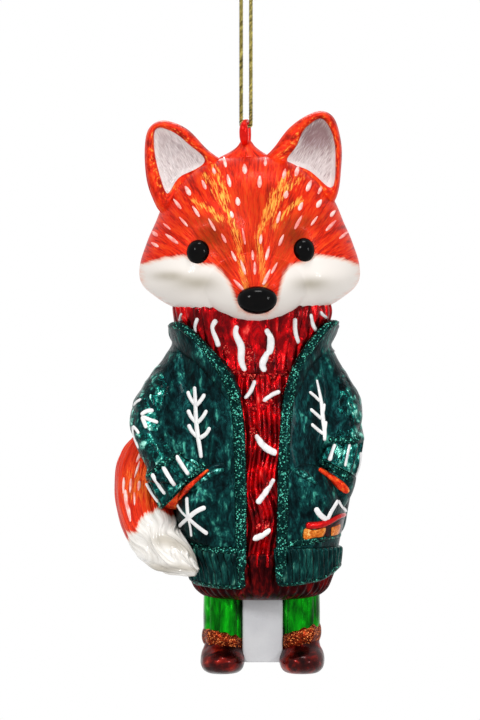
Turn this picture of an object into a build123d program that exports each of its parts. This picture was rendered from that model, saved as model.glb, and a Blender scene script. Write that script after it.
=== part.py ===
from build123d import *
import os
from math import sqrt

# A hanging fox ornament of mould-blown glass: a fox in a green jacket, red turtleneck,
# green trousers and boots, with a glass eyelet on its crown and a gold cord through it.
# The real glass is one hollow shell. Each of its moulded or painted zones is a solid here.
# Millimetres, +Z up, the fox faces -Y. Left and right are as seen from the front.
# Heights are counted from the soles, until each piece moves to the hanging point's frame.

overrun = 60.0
glass_wall = 1.1

# Boots, trousers and the infill between them
leg_spacing = 18.8
foot_offset = 3.84
boot_height = 7.0
boot_half_width = 5.2
boot_half_length = 7.4
boot_toe_reach = 1.8
sole_share = 0.85
boot_swell_share = 0.40
boot_cuff_height = 4.6
boot_cuff_half_width = 5.0
boot_cuff_half_depth = 5.6
trouser_height = 6.9
trouser_half_width = 4.6
trouser_half_depth = 5.2
web_half_depth = 3.6
web_clearance = 3.0

# Sweater
hem_reveal = 3.3
hem_tuck = 2.4
hem_half_width = 16.2
hem_half_depth = 12.6
strip_recess = 0.4
fold_proud = 0.5
neck_flare = 1.4
neck_depth_flare = 0.7

# Jacket
jacket_height = 57.4
jacket_half_width = 20.8
jacket_half_depth = 15.5
jacket_wall = 1.4
hem_band_proud = 0.9
lapel_proud = 1.2
placket_width = 1.5
placket_proud = 0.7
pocket_proud = 1.7
patch_proud = 0.5
collar_height = 5.0
collar_wall = 1.7
collar_flare = 0.9

# Arms
sleeve_radius = 7.0
sleeve_depth_radius = 6.4
arm_reach = 8.0
cuff_proud = 0.4

# Head
head_rise = 5.3
head_height = 39.6
head_half_width = 26.5
head_half_depth = 14.8
head_offset = 0.9
snout_half_width = 12.0
snout_half_height = 8.6
snout_half_depth = 13.0
snout_reach = 5.4
eye_radius = 3.0
nose_half_width = 4.7
nose_half_height = 3.4
nose_half_depth = 3.2
ear_depth = 9.0
ear_tip_depth = 3.4
ear_recess = 1.6
lining_thickness = 1.0

# Tail
tail_radius = 6.4

# Crown boss, eyelet, cord and knot
boss_radius = 4.6
boss_tip_radius = 1.2
boss_height = 4.6
boss_reveal = 4.1
eyelet_wire_radius = 0.6
eyelet_half_width = 2.0
eyelet_rise = 5.2
hanger_yaw = -14.0
cord_diameter = 1.0
cord_gap = 0.1
cord_rise = 36.0
knot_radius = 1.5
knot_half_length = 2.1
knot_edge = 0.6
knot_gap = 0.1
tail_end_length = 6.5
tail_end_angle = 16.0

# Heights of the stack
boot_cuff_top = boot_height + boot_cuff_height
trouser_top = boot_cuff_top + trouser_height
jacket_bottom = trouser_top + hem_reveal
jacket_top = jacket_bottom + jacket_height
head_bottom = jacket_top + head_rise
head_top = head_bottom + head_height
boss_top = head_top + boss_reveal
strand_height = boss_top + eyelet_rise - eyelet_wire_radius
cord_offset = eyelet_wire_radius + cord_gap + cord_diameter / 2
bight_height = strand_height - cord_offset
hang_height = bight_height + cord_rise

parts = {}


def keep(name, shape):
    """Names a piece, in the hanging point's frame. Slivers left by its cuts are dropped."""
    largest = max(shape.solids(), key=lambda solid: solid.volume)
    parts[name] = Pos(0, 0, -hang_height) * largest


def ring(height, centre_x, centre_y, half_width, half_depth):
    """A level ellipse."""
    return Pos(centre_x, centre_y, height) * Ellipse(half_width, half_depth)


def prism(outline, front, back):
    """An outline in the front view, as (x, height) points, run through from front to back."""
    face = make_face(Polyline([(x, front, z) for x, z in outline], close=True))
    return extrude(face, amount=back - front, dir=(0, 1, 0))


def side_prism(outline):
    """An outline in the side view, as (y, height) points, run through from left to right."""
    face = make_face(Polyline([(-overrun, y, z) for y, z in outline], close=True))
    return extrude(face, amount=2 * overrun, dir=(1, 0, 0))


def level_slab(bottom, top):
    """Everything between two heights."""
    return side_prism([(-overrun, bottom), (overrun, bottom), (overrun, top), (-overrun, top)])


def ellipsoid(centre, half_sizes):
    return Pos(*centre) * scale(Sphere(1), by=half_sizes)


def limb(stations):
    """A tube through stations of centre, heading, radius across and radius in depth."""
    sections = []
    for centre, heading, across, deep in stations:
        heading = Vector(*heading).normalized()
        side = Vector(0, 1, 0).cross(heading).normalized()
        sections.append(Plane(origin=centre, x_dir=side, z_dir=heading) * Ellipse(across, deep))
    return loft(sections)


def between(table, height_share):
    """Reads a table of shares at a height share, in straight lines."""
    for low, high in zip(table, table[1:]):
        if height_share <= high[0]:
            way = (height_share - low[0]) / (high[0] - low[0])
            return [a + (b - a) * way for a, b in zip(low, high)]
    return table[-1]


# Torso: one family of level ellipses carries the jacket, what is raised on it and its lining.
# Shares of height, half width, half depth and the feet's offset.
torso_shares = [
    (0.00, 0.870, 0.930, 1.10),
    (0.27, 1.000, 1.000, 0.85),
    (0.52, 0.960, 0.980, 0.65),
    (0.78, 0.920, 0.900, 0.45),
    (1.00, 0.885, 0.800, 0.31),
]


def torso(grow):
    """The jacket's outer form, grown or drawn in."""
    return loft([
        ring(
            jacket_bottom + jacket_height * high,
            foot_offset * lean,
            0,
            jacket_half_width * wide + grow,
            jacket_half_depth * deep + grow,
        )
        for high, wide, deep, lean in torso_shares
    ])


def on_jacket(outline_shares):
    """An outline in shares of the jacket's half width and height, from its front's middle."""
    return [
        (foot_offset + jacket_half_width * across, jacket_bottom + jacket_height * high)
        for across, high in outline_shares
    ]


def on_head(outline_shares):
    """An outline in shares of the head's half width and height."""
    return [
        (head_offset + head_half_width * across, head_bottom + head_height * high)
        for across, high in outline_shares
    ]


torso_outer = torso(0)
torso_lining = torso(-jacket_wall)


def relief(outline_shares, proud, base=torso_outer):
    """A raised area on the jacket's front, bounded by an outline in the front view."""
    return (torso(proud) - base) & prism(on_jacket(outline_shares), -overrun, 0)


# Head
head_shares = [
    (0.00, 0.160, 0.200),
    (0.07, 0.560, 0.560),
    (0.16, 0.850, 0.860),
    (0.30, 1.000, 1.000),
    (0.45, 0.955, 1.000),
    (0.62, 0.865, 0.930),
    (0.78, 0.750, 0.820),
    (0.90, 0.560, 0.640),
    (0.98, 0.330, 0.400),
    (1.00, 0.200, 0.250),
]
head_middle_share = 0.45


def head(grow):
    """The head's outer form without the snout, grown or drawn in about its middle."""
    middle = head_bottom + head_height * head_middle_share
    rise = 1 + 2 * grow / head_height
    return loft([
        ring(
            middle + head_height * (high - head_middle_share) * rise,
            head_offset,
            0,
            head_half_width * wide * (1 + grow / head_half_width),
            head_half_depth * deep * (1 + grow / head_half_depth),
        )
        for high, wide, deep in head_shares
    ])


def head_front(across_share, height_share):
    """The depth of the head's front surface at a place in shares."""
    _, wide, deep = between(head_shares, height_share)
    return -head_half_depth * deep * sqrt(1 - (across_share / wide) ** 2)


snout_across_share, snout_high_share = 0.05, 0.215
[(snout_x, snout_z)] = on_head([(snout_across_share, snout_high_share)])
snout_tip = head_half_depth + snout_reach
snout = ellipsoid(
    (snout_x, snout_half_depth - snout_tip, snout_z),
    (snout_half_width, snout_half_depth, snout_half_height),
)
head_outer = head(0) + snout
head_hollow = head(-glass_wall)

# Neck: fills the jacket's lining at its top and flares up into the head
neck_top_share = 0.15
neck_top = head_bottom + head_height * neck_top_share
_, top_wide_share, top_deep_share, top_lean_share = torso_shares[-1]


def neck_ring(height, grow):
    """A level section of the neck, which widens steadily from the jacket's top edge."""
    rise = (height - jacket_top) / (neck_top - jacket_top)
    return ring(
        height,
        foot_offset * top_lean_share,
        0,
        jacket_half_width * top_wide_share - jacket_wall + neck_flare * rise + grow,
        jacket_half_depth * top_deep_share - jacket_wall + neck_depth_flare * rise + grow,
    )


def neck(grow):
    """The turtleneck's form above the jacket's top edge."""
    return loft([neck_ring(jacket_top, grow), neck_ring(neck_top, grow)])


neck_hollow = neck(-glass_wall)
lining_hollow = torso(-jacket_wall - glass_wall)
fold_low_share, fold_high_share = 0.865, 0.895
fold_bottom = jacket_bottom + jacket_height * fold_low_share
fold_top = jacket_bottom + jacket_height * fold_high_share
neck_low = torso_lining & level_slab(fold_bottom, jacket_top)
turtleneck = neck(0) + neck_low - neck_hollow - lining_hollow - head_outer
keep("turtleneck", turtleneck)

# Jacket panels: a shell, open along the front over the sweater
opening_shares = [
    (-0.219, -0.05),
    (-0.219, 0.435),
    (-0.254, 0.686),
    (-0.369, 0.832),
    (-0.658, 0.970),
    (-1.150, 1.110),
    (0.976, 1.110),
    (0.369, 0.970),
    (0.277, 0.832),
    (0.219, 0.686),
    (0.208, 0.435),
    (0.208, -0.05),
]
opening = prism(on_jacket(opening_shares), -overrun, 0)
jacket_shell = torso_outer - torso_lining
back_half = side_prism([(0, 0), (overrun, 0), (overrun, head_top), (0, head_top)])
jacket_fronts = (jacket_shell - opening - back_half).solids().sort_by(Axis.X)
keep("jacket_left_front", jacket_fronts[0])
keep("jacket_right_front", jacket_fronts[-1])
keep("jacket_back", jacket_shell & back_half)

# Sweater: a strip in the opening, and a hem that closes the torso below
hem_lower = extrude(ring(trouser_top, foot_offset, 0, hem_half_width, hem_half_depth), hem_reveal)
hem_upper = torso_lining & level_slab(jacket_bottom, jacket_bottom + hem_tuck)
hem_hollow = extrude(
    ring(
        trouser_top + glass_wall,
        foot_offset,
        0,
        hem_half_width - 2 * glass_wall,
        hem_half_depth - 2 * glass_wall,
    ),
    hem_reveal + hem_tuck,
)
sweater_hem = hem_lower + hem_upper - hem_hollow
keep("sweater_hem", sweater_hem)

strip = (torso(-strip_recess) - torso_lining) & opening
keep("sweater_front", strip & level_slab(jacket_bottom, fold_bottom))
fold = (torso(fold_proud - jacket_wall) - torso_lining) & opening
keep("turtleneck_fold", fold & level_slab(fold_bottom, fold_top))

# Collar and lapels
collar_outer = loft([
    neck_ring(jacket_top, collar_wall),
    neck_ring(jacket_top + collar_height, collar_wall + collar_flare),
])
keep("jacket_collar", collar_outer - neck(0) - head_outer - opening)

left_lapel_shares = [
    (-0.254, 0.686),
    (-0.369, 0.832),
    (-0.658, 0.970),
    (-0.800, 1.050),
    (-0.960, 1.050),
    (-0.860, 0.930),
    (-0.600, 0.820),
    (-0.420, 0.700),
    (-0.300, 0.600),
    (-0.240, 0.600),
]
right_lapel_shares = [
    (0.219, 0.686),
    (0.277, 0.832),
    (0.369, 0.970),
    (0.500, 1.050),
    (0.800, 1.050),
    (0.680, 0.930),
    (0.520, 0.820),
    (0.370, 0.700),
    (0.260, 0.600),
    (0.214, 0.600),
]
left_lapel = relief(left_lapel_shares, lapel_proud) - opening
right_lapel = relief(right_lapel_shares, lapel_proud) - opening
keep("left_lapel", left_lapel)
keep("right_lapel", right_lapel)

# Glitter bands beside the opening, and the ribbed hem of the jacket
placket_low_share, placket_high_share = 0.165, 0.60
left_edge_share, right_edge_share = opening_shares[0][0], opening_shares[-1][0]
placket_share = placket_width / jacket_half_width
for name, edge, outer in (
    ("left_placket", left_edge_share, left_edge_share - placket_share),
    ("right_placket", right_edge_share, right_edge_share + placket_share),
):
    band = [
        (edge, placket_low_share),
        (outer, placket_low_share),
        (outer, placket_high_share),
        (edge, placket_high_share),
    ]
    keep(name, relief(band, placket_proud) - opening)

hem_band_top = jacket_bottom + jacket_height * placket_low_share
hem_ring = (torso(hem_band_proud) - torso_outer) & level_slab(jacket_bottom, hem_band_top)
hem_fronts = (hem_ring - opening - back_half).solids().sort_by(Axis.X)
keep("left_hem_band", hem_fronts[0])
keep("right_hem_band", hem_fronts[-1])
keep("back_hem_band", hem_ring & back_half)

# Pockets, and the patch sewn on the right one
left_pocket_shares = [
    (-0.450, 0.493),
    (-0.992, 0.339),
    (-1.038, 0.297),
    (-0.992, 0.234),
    (-0.800, 0.165),
    (-0.340, 0.165),
    (-0.330, 0.435),
]
right_pocket_shares = [
    (0.404, 0.468),
    (1.027, 0.364),
    (0.969, 0.268),
    (0.912, 0.190),
    (0.323, 0.180),
    (0.300, 0.351),
]
patch_shares = [(0.485, 0.268), (0.930, 0.284), (0.880, 0.200), (0.473, 0.195)]
left_pocket = relief(left_pocket_shares, pocket_proud)
right_pocket = relief(right_pocket_shares, pocket_proud)
patch = relief(patch_shares, pocket_proud + patch_proud, torso(pocket_proud))
keep("left_pocket", left_pocket)
keep("right_pocket", right_pocket)
keep("right_pocket_patch", patch)

# Arms: each a tube of stations from the shoulder to the cuff, the cuff and the paw.
# Shares: across, height, depth, heading across, heading up, radius across, radius in depth.
left_arm_shares = [
    (-0.890, 0.905, -0.10, -0.70, -0.70, 0.78, 0.80),
    (-1.130, 0.800, -0.20, -0.50, -0.86, 0.93, 0.95),
    (-1.210, 0.660, -0.40, 0.00, -1.00, 1.00, 1.00),
    (-1.120, 0.502, -0.62, 0.53, -0.85, 0.80, 0.90),
]
left_cuff_shares = [
    left_arm_shares[-1],
    (-0.893, 0.406, -1.00, 0.71, -0.71, 1.12, 0.80),
]
left_paw_shares = [
    (-0.893, 0.406, -1.00, 0.71, -0.71, 1.00, 0.68),
    (-0.780, 0.350, -1.05, 0.71, -0.71, 0.80, 0.55),
]
right_arm_shares = [
    (0.660, 0.905, -0.10, 0.70, -0.70, 0.78, 0.80),
    (0.850, 0.800, -0.20, 0.50, -0.86, 0.84, 0.90),
    (0.945, 0.690, -0.36, 0.10, -0.99, 0.72, 0.90),
    (0.950, 0.610, -0.52, -0.16, -0.98, 0.62, 0.80),
]
right_cuff_shares = [
    right_arm_shares[-1],
    (0.854, 0.481, -0.80, -0.40, -0.91, 0.74, 0.80),
]
right_paw_shares = [
    (0.854, 0.481, -0.80, -0.40, -0.91, 0.64, 0.68),
    (0.790, 0.410, -0.90, -0.40, -0.91, 0.52, 0.55),
]


def arm(station_shares, proud=0.0):
    stations = []
    for across, high, reach, aside, up, wide, deep in station_shares:
        [(x, z)] = on_jacket([(across, high)])
        stations.append((
            (x, arm_reach * reach, z),
            (aside, 0, up),
            sleeve_radius * wide + proud,
            sleeve_depth_radius * deep + proud,
        ))
    return limb(stations)


raised = torso_outer + collar_outer + left_lapel + right_lapel + left_pocket + right_pocket
left_sleeve = arm(left_arm_shares) - raised
right_sleeve = arm(right_arm_shares) - raised
left_cuff = arm(left_cuff_shares, cuff_proud) - raised - left_sleeve
right_cuff = arm(right_cuff_shares, cuff_proud) - raised - right_sleeve
left_paw = arm(left_paw_shares) - raised - left_cuff - left_sleeve
right_paw = arm(right_paw_shares) - raised - right_cuff - right_sleeve
keep("left_sleeve", left_sleeve)
keep("right_sleeve", right_sleeve)
keep("left_cuff", left_cuff)
keep("right_cuff", right_cuff)
keep("left_paw", left_paw)
keep("right_paw", right_paw)

# Tail: from behind the left sleeve, round the side, its tip on the jacket's front.
# Shares: across, height, depth, heading across, heading up, radius.
tail_shares = [
    (-1.330, 0.600, 0.60, -0.10, -1.00, 0.35),
    (-1.440, 0.480, 0.35, 0.00, -1.00, 0.80),
    (-1.370, 0.340, -0.05, 0.35, -0.94, 1.00),
    (-1.200, 0.215, -0.50, 0.60, -0.80, 0.98),
    (-0.980, 0.120, -0.95, 0.85, -0.53, 0.72),
    (-0.790, 0.070, -1.20, 0.95, -0.30, 0.30),
]
tail_tip_shares = [
    (-2.000, 0.190),
    (-1.562, 0.228),
    (-1.373, 0.276),
    (-0.600, 0.330),
    (-0.600, -0.300),
    (-2.000, -0.300),
]
tail_stations = []
for across, high, reach, aside, up, wide in tail_shares:
    [(x, z)] = on_jacket([(across, high)])
    tail_stations.append((
        (x, arm_reach * reach, z),
        (aside, 0, up),
        tail_radius * wide,
        tail_radius * wide,
    ))
hem_solid = torso(hem_band_proud) & level_slab(jacket_bottom, hem_band_top)
tail = limb(tail_stations) - raised - hem_solid - left_sleeve - left_cuff - left_paw
tip_zone = prism(on_jacket(tail_tip_shares), -overrun, overrun)
keep("tail_tip", tail & tip_zone)
keep("tail_brush", tail - tip_zone)

# Head: a shell open into the neck. The white mask is its lower front.
mask_shares = [
    (-1.300, 0.358),
    (-0.976, 0.358),
    (-0.803, 0.392),
    (-0.595, 0.415),
    (-0.450, 0.364),
    (-0.332, 0.360),
    (-0.251, 0.318),
    (-0.183, 0.258),
    (-0.142, 0.193),
    (-0.106, 0.121),
    (-0.024, 0.067),
    (0.157, 0.067),
    (0.229, 0.121),
    (0.254, 0.170),
    (0.267, 0.230),
    (0.288, 0.303),
    (0.347, 0.350),
    (0.483, 0.370),
    (0.591, 0.415),
    (0.727, 0.406),
    (0.863, 0.388),
    (1.008, 0.345),
    (1.300, 0.345),
    (1.300, -0.200),
    (-1.300, -0.200),
]
mask_wrap_share = 0.12
mask_zone = prism(on_head(mask_shares), -overrun, head_half_depth * mask_wrap_share)
head_glass = head_outer - head_hollow - neck_hollow
keep("face_mask", head_glass & mask_zone)
keep("head_shell", head_glass - mask_zone)

# Eyes and nose, seated on the head
eye_high_share = 0.433
eye_sink_share = 0.30
for name, across in (("left_eye", -0.461), ("right_eye", 0.485)):
    [(x, z)] = on_head([(across, eye_high_share)])
    y = head_front(across, eye_high_share) + eye_radius * eye_sink_share
    keep(name, Pos(x, y, z) * Sphere(eye_radius) - head_outer)
nose_across_share, nose_high_share, nose_sink_share = 0.066, 0.145, 0.25
[(nose_x, nose_z)] = on_head([(nose_across_share, nose_high_share)])
nose_half_sizes = (nose_half_width, nose_half_depth, nose_half_height)
nose = ellipsoid((nose_x, nose_half_depth * nose_sink_share - snout_tip, nose_z), nose_half_sizes)
keep("nose", nose - head_outer)

# Ears: wedges that thin towards the tip, with a recessed lining
left_ear_shares = [
    (-0.831, 0.648),
    (-0.894, 0.794),
    (-0.948, 0.988),
    (-0.930, 1.145),
    (-0.903, 1.191),
    (-0.817, 1.222),
    (-0.686, 1.212),
    (-0.553, 1.167),
    (-0.447, 1.094),
    (-0.341, 1.027),
    (-0.160, 0.952),
    (-0.450, 0.715),
]
left_lining_shares = [
    (-0.831, 1.177),
    (-0.686, 1.148),
    (-0.553, 1.076),
    (-0.423, 0.979),
    (-0.553, 0.924),
    (-0.686, 0.862),
    (-0.745, 0.796),
    (-0.799, 0.872),
    (-0.851, 0.996),
    (-0.865, 1.121),
]
right_ear_shares = [
    (0.111, 0.970),
    (0.225, 1.062),
    (0.324, 1.156),
    (0.444, 1.227),
    (0.550, 1.267),
    (0.657, 1.285),
    (0.736, 1.261),
    (0.803, 1.174),
    (0.836, 1.058),
    (0.827, 0.915),
    (0.776, 0.758),
    (0.456, 0.715),
]
right_lining_shares = [
    (0.643, 1.236),
    (0.723, 1.182),
    (0.773, 1.085),
    (0.776, 0.978),
    (0.729, 0.827),
    (0.617, 0.889),
    (0.483, 0.952),
    (0.364, 0.988),
    (0.418, 1.058),
    (0.483, 1.156),
    (0.563, 1.209),
]
ear_base_share, ear_tip_share = 0.65, 1.30
[(_, ear_base), (_, ear_tip)] = on_head([(0, ear_base_share), (0, ear_tip_share)])


def ear_wedge(recess):
    """The ears' form from the side, its front face set back by the recess."""
    return side_prism([
        (recess - ear_depth / 2, ear_base),
        (ear_depth / 2, ear_base),
        (ear_tip_depth / 2, ear_tip),
        (recess - ear_tip_depth / 2, ear_tip),
    ])


for side, ear_shares, lining_shares in (
    ("left", left_ear_shares, left_lining_shares),
    ("right", right_ear_shares, right_lining_shares),
):
    ear = prism(on_head(ear_shares), -overrun, overrun) & ear_wedge(0)
    inside = prism(on_head(lining_shares), -overrun, overrun)
    bowl = inside & (ear_wedge(0) - ear_wedge(ear_recess + lining_thickness))
    lining = inside & (ear_wedge(ear_recess) - ear_wedge(ear_recess + lining_thickness))
    keep(side + "_ear", ear - bowl - head_outer)
    keep(side + "_ear_lining", lining - head_outer)

# Crown boss and the glass eyelet on it
boss = Pos(0, 0, boss_top - boss_height / 2) * Cone(boss_radius, boss_tip_radius, boss_height)
keep("crown_boss", boss - head_outer)
arch_base = boss_top - boss_height / 2
arch_spring = strand_height - eyelet_half_width
arch = Line((0, -eyelet_half_width, arch_base), (0, -eyelet_half_width, arch_spring))
arch = arch + ThreePointArc(
    (0, -eyelet_half_width, arch_spring),
    (0, 0, strand_height),
    (0, eyelet_half_width, arch_spring),
)
arch = arch + Line((0, eyelet_half_width, arch_spring), (0, eyelet_half_width, arch_base))
wire_start = Plane(origin=arch @ 0, z_dir=arch % 0)
eyelet = sweep(wire_start * Circle(eyelet_wire_radius), path=arch)
turn = Rot(0, 0, hanger_yaw)
keep("hanger_eyelet", turn * eyelet - boss - head_outer)

# Legs, with the infill between them
columns = None
for side, way in (("left", -1), ("right", 1)):
    x = foot_offset + way * leg_spacing / 2
    cuff_foot = ring(boot_height, x, 0, boot_cuff_half_width, boot_cuff_half_depth)
    boot = loft([
        ring(0, x, -boot_toe_reach, boot_half_width * sole_share, boot_half_length * sole_share),
        ring(boot_height * boot_swell_share, x, -boot_toe_reach, boot_half_width, boot_half_length),
        cuff_foot,
    ])
    cuff = extrude(cuff_foot, boot_cuff_height)
    trouser_foot = ring(boot_cuff_top, x, 0, trouser_half_width, trouser_half_depth)
    trouser = extrude(trouser_foot, trouser_height)
    keep(side + "_boot", boot)
    keep(side + "_boot_cuff", cuff)
    keep(side + "_trouser", trouser)
    column = boot + cuff + trouser
    columns = column if columns is None else columns + column
web_height = trouser_top - web_clearance
web = Box(leg_spacing, 2 * web_half_depth, web_height)
keep("leg_web", Pos(foot_offset, 0, web_clearance + web_height / 2) * web - columns)

# Cord: down one leg, round under the eyelet's strand and up the other leg
leg_top = hang_height - knot_gap
cord_path = Line((-cord_offset, 0, leg_top), (-cord_offset, 0, strand_height))
cord_path = cord_path + ThreePointArc(
    (-cord_offset, 0, strand_height),
    (0, 0, bight_height),
    (cord_offset, 0, strand_height),
)
cord_path = cord_path + Line((cord_offset, 0, strand_height), (cord_offset, 0, leg_top))
cord_start = Plane(origin=cord_path @ 0, z_dir=cord_path % 0)
keep("hanging_cord", turn * sweep(cord_start * Circle(cord_diameter / 2), path=cord_path))

# Knot: a barrel across the two legs, with the cord's two short ends
knot_height = hang_height + knot_radius
barrel = Rot(0, 90, 0) * Cylinder(knot_radius, 2 * knot_half_length)
barrel = fillet(barrel.edges().filter_by(GeomType.CIRCLE), knot_edge)
for way in (-1, 1):
    end = extrude(Circle(cord_diameter / 2), tail_end_length)
    barrel = barrel + Rot(0, way * tail_end_angle, 0) * end
keep("cord_knot", turn * Pos(0, 0, knot_height) * barrel)

cord_length = cord_path.length + 2 * tail_end_length
print("cord length with its ends", cord_length, "bend radius", cord_offset)
tube_volume = parts["hanging_cord"].volume
section_volume = Circle(cord_diameter / 2).area * cord_path.length
print("cord tube volume", tube_volume, "section times length", section_volume)
print("eyelet pivot", strand_height - hang_height, "knot pivot", knot_height - hang_height)
print("soles", -hang_height, "turn of the hanger", hanger_yaw)

os.makedirs("parts", exist_ok=True)
for name, piece in parts.items():
    export_step(piece, "parts/" + name + ".step")
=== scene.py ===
import math
import bmesh
import bpy
import numpy as np
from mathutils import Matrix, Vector
from mathutils.bvhtree import BVHTree


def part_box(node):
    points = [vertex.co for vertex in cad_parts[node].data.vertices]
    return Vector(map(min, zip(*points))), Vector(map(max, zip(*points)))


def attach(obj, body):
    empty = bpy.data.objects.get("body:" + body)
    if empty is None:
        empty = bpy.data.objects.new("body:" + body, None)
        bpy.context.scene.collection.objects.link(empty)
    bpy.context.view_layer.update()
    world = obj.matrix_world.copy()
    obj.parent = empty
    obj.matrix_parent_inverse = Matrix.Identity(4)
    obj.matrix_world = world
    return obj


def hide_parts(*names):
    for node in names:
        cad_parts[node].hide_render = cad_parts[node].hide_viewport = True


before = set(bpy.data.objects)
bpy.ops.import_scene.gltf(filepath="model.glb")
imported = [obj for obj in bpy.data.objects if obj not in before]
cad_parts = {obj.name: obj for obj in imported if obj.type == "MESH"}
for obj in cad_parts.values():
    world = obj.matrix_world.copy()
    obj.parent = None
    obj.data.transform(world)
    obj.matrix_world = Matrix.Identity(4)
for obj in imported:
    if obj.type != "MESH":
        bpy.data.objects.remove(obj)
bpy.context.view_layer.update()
mm = 0.001

# One pixel of the photograph is 0.24 mm. Column 246 is the middle, row 675 the soles.
photo = {"pixel": 0.24, "middleColumn": 246.0, "solesRow": 675.0, "rows": 720}
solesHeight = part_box("left_boot")[0][2] / mm
print("frame loaded, soles at", round(solesHeight, 2), "mm")


def across(column):
    # x in millimetres of a column of the photograph.
    return (np.asarray(column, float) - photo["middleColumn"]) * photo["pixel"]


def height(row):
    # z in millimetres of a row: rows run down, heights run up from the soles.
    return solesHeight + (photo["solesRow"] - np.asarray(row, float)) * photo["pixel"]


def columnOf(x):
    # The column that shows x.
    return x / photo["pixel"] + photo["middleColumn"]


def rowOf(z):
    # The row that shows z.
    return photo["solesRow"] - (z - solesHeight) / photo["pixel"]


def spots(pixels):
    # Pixels (column, row) as (x, z) in millimetres.
    pixels = np.asarray(pixels, float)
    return np.stack([across(pixels[:, 0]), height(pixels[:, 1])], axis=-1)


# Curves and tables

def unit(vectors):
    # Each vector divided by its own length.
    return vectors / np.linalg.norm(vectors, axis=1)[:, None]


def travelled(points):
    # The length of the line from its start to each of its points.
    return np.concatenate([[0], np.cumsum(np.linalg.norm(np.diff(points, axis=0), axis=1))])


def roundTurn(count):
    # Even angles once round, without the last one, which is the first.
    return np.linspace(0, 2 * math.pi, count, endpoint=False)


def splineAt(knots, values, at):
    # Natural cubic spline: the bends at the knots solve one linear system, so slope and bend run on.
    knots = np.asarray(knots, float)
    values = np.asarray(values, float)
    flat = values.reshape(len(knots), -1)
    at = np.clip(np.asarray(at, float), knots[0], knots[-1])
    gap = np.diff(knots)
    slope = np.diff(flat, axis=0) / gap[:, None]
    system = np.eye(len(knots))
    right = np.zeros_like(flat)
    inner = np.arange(1, len(knots) - 1)
    system[inner, inner - 1] = gap[:-1]
    system[inner, inner] = 2 * (gap[:-1] + gap[1:])
    system[inner, inner + 1] = gap[1:]
    right[inner] = 6 * (slope[1:] - slope[:-1])
    bend = np.linalg.solve(system, right)
    cell = np.clip(np.searchsorted(knots, at) - 1, 0, len(gap) - 1)
    left, ahead, h = (knots[cell + 1] - at)[..., None], (at - knots[cell])[..., None], gap[cell][..., None]
    out = (bend[cell] * left ** 3 + bend[cell + 1] * ahead ** 3) / (6 * h)
    out = out + (flat[cell] / h - bend[cell] * h / 6) * left
    out = out + (flat[cell + 1] / h - bend[cell + 1] * h / 6) * ahead
    return out.reshape(at.shape + values.shape[1:])


def smoothPath(points, count):
    # Spline through points, read at even shares of its chord length.
    points = np.asarray(points, float)
    if len(points) == 2:
        return points[0] + (points[1] - points[0]) * np.linspace(0, 1, count)[:, None]
    reach = travelled(points)
    return splineAt(reach, points, np.linspace(0, reach[-1], count))


def closedOutline(points, count):
    # Smooth closed curve: the spline runs three points past both ends, and its middle turn is read.
    points = np.asarray(points, float)
    longer = np.concatenate([points[-3:], points, points[:4]])
    reach = travelled(longer)
    return splineAt(reach, longer, np.linspace(reach[3], reach[3 + len(points)], count, endpoint=False))


def byRow(table, z):
    # A table of (row, values...) read at heights in millimetres.
    table = np.asarray(sorted(table, key=lambda line: -line[0]), float)
    return np.moveaxis(splineAt(height(table[:, 0]), table[:, 1:], z), -1, 0)


def ease(value):
    # Smooth step from 0 to 1.
    value = np.clip(value, 0, 1)
    return value * value * (3 - 2 * value)


def smoothMax(a, b, soft):
    # The larger of two, with a fillet of size `soft` where they cross.
    way = np.clip(0.5 + 0.5 * (a - b) / soft, 0, 1)
    return b + (a - b) * way + soft * way * (1 - way)


def bell(a, b, middleA, middleB, wideA, wideB):
    # 1 at a middle of two values, falling off to nothing by a spread along each.
    return np.exp(-((a - middleA) / wideA) ** 2 - ((b - middleB) / wideB) ** 2)


def wobble(points, size, seed, waves=9):
    # Smooth noise from -1 to 1: a sum of sine waves of about one length in random directions.
    chance = np.random.default_rng(seed)
    aim = unit(chance.normal(size=(waves, points.shape[-1]))) * chance.uniform(0.7, 1.5, (waves, 1))
    phase = chance.uniform(0, 2 * math.pi, waves)
    return np.sin(points @ aim.T * (2 * math.pi / size) + phase).sum(axis=-1) / math.sqrt(waves) * 0.7


def stack(x, y, z):
    # Points from three coordinates of shapes that fit each other.
    return np.stack(np.broadcast_arrays(x, y, z), axis=-1)


# Meshes

pieces = {}
shapes = {}
toViewer = (0, -1, 0)  # the way the fox faces


def grid(points, closed=False, **marks):
    # One sheet of points in rows and columns, with named values for each point.
    return {"points": np.asarray(points, float), "closed": closed, "marks": marks}


def capped(points, **marks):
    # A tube closed at both ends by a ring drawn in to the end's middle. The end rings keep their marks.
    ends = points[:1], points[-1:]
    first, last = (np.broadcast_to(end.mean(axis=1, keepdims=True), end.shape) for end in ends)
    marks = {key: np.concatenate([value[:1], value, value[-1:]]) for key, value in marks.items()}
    return grid(np.concatenate([first, points, last]), closed=True, **marks)


def sheetFaces(rows, columns, closed):
    # Each face joins a point to its neighbours in the next column and row.
    index = np.arange(rows * columns).reshape(rows, columns)
    if closed:
        index = np.concatenate([index, index[:, :1]], axis=1)
    corners = [index[:-1, :-1], index[:-1, 1:], index[1:, 1:], index[1:, :-1]]
    return np.stack([corner.ravel() for corner in corners], axis=-1)


def facesOutward(points, faces, facing):
    # True where the faces' areas point away from the middle, or along `facing`.
    a, b, c, d = (points[faces[:, k]] for k in range(4))
    area = np.cross(c - a, d - b)
    if facing is not None:
        return (area @ np.asarray(facing, float)).sum() > 0
    centre = (a + b + c + d) / 4
    return (area * (centre - points.mean(axis=0))).sum() > 0


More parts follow.
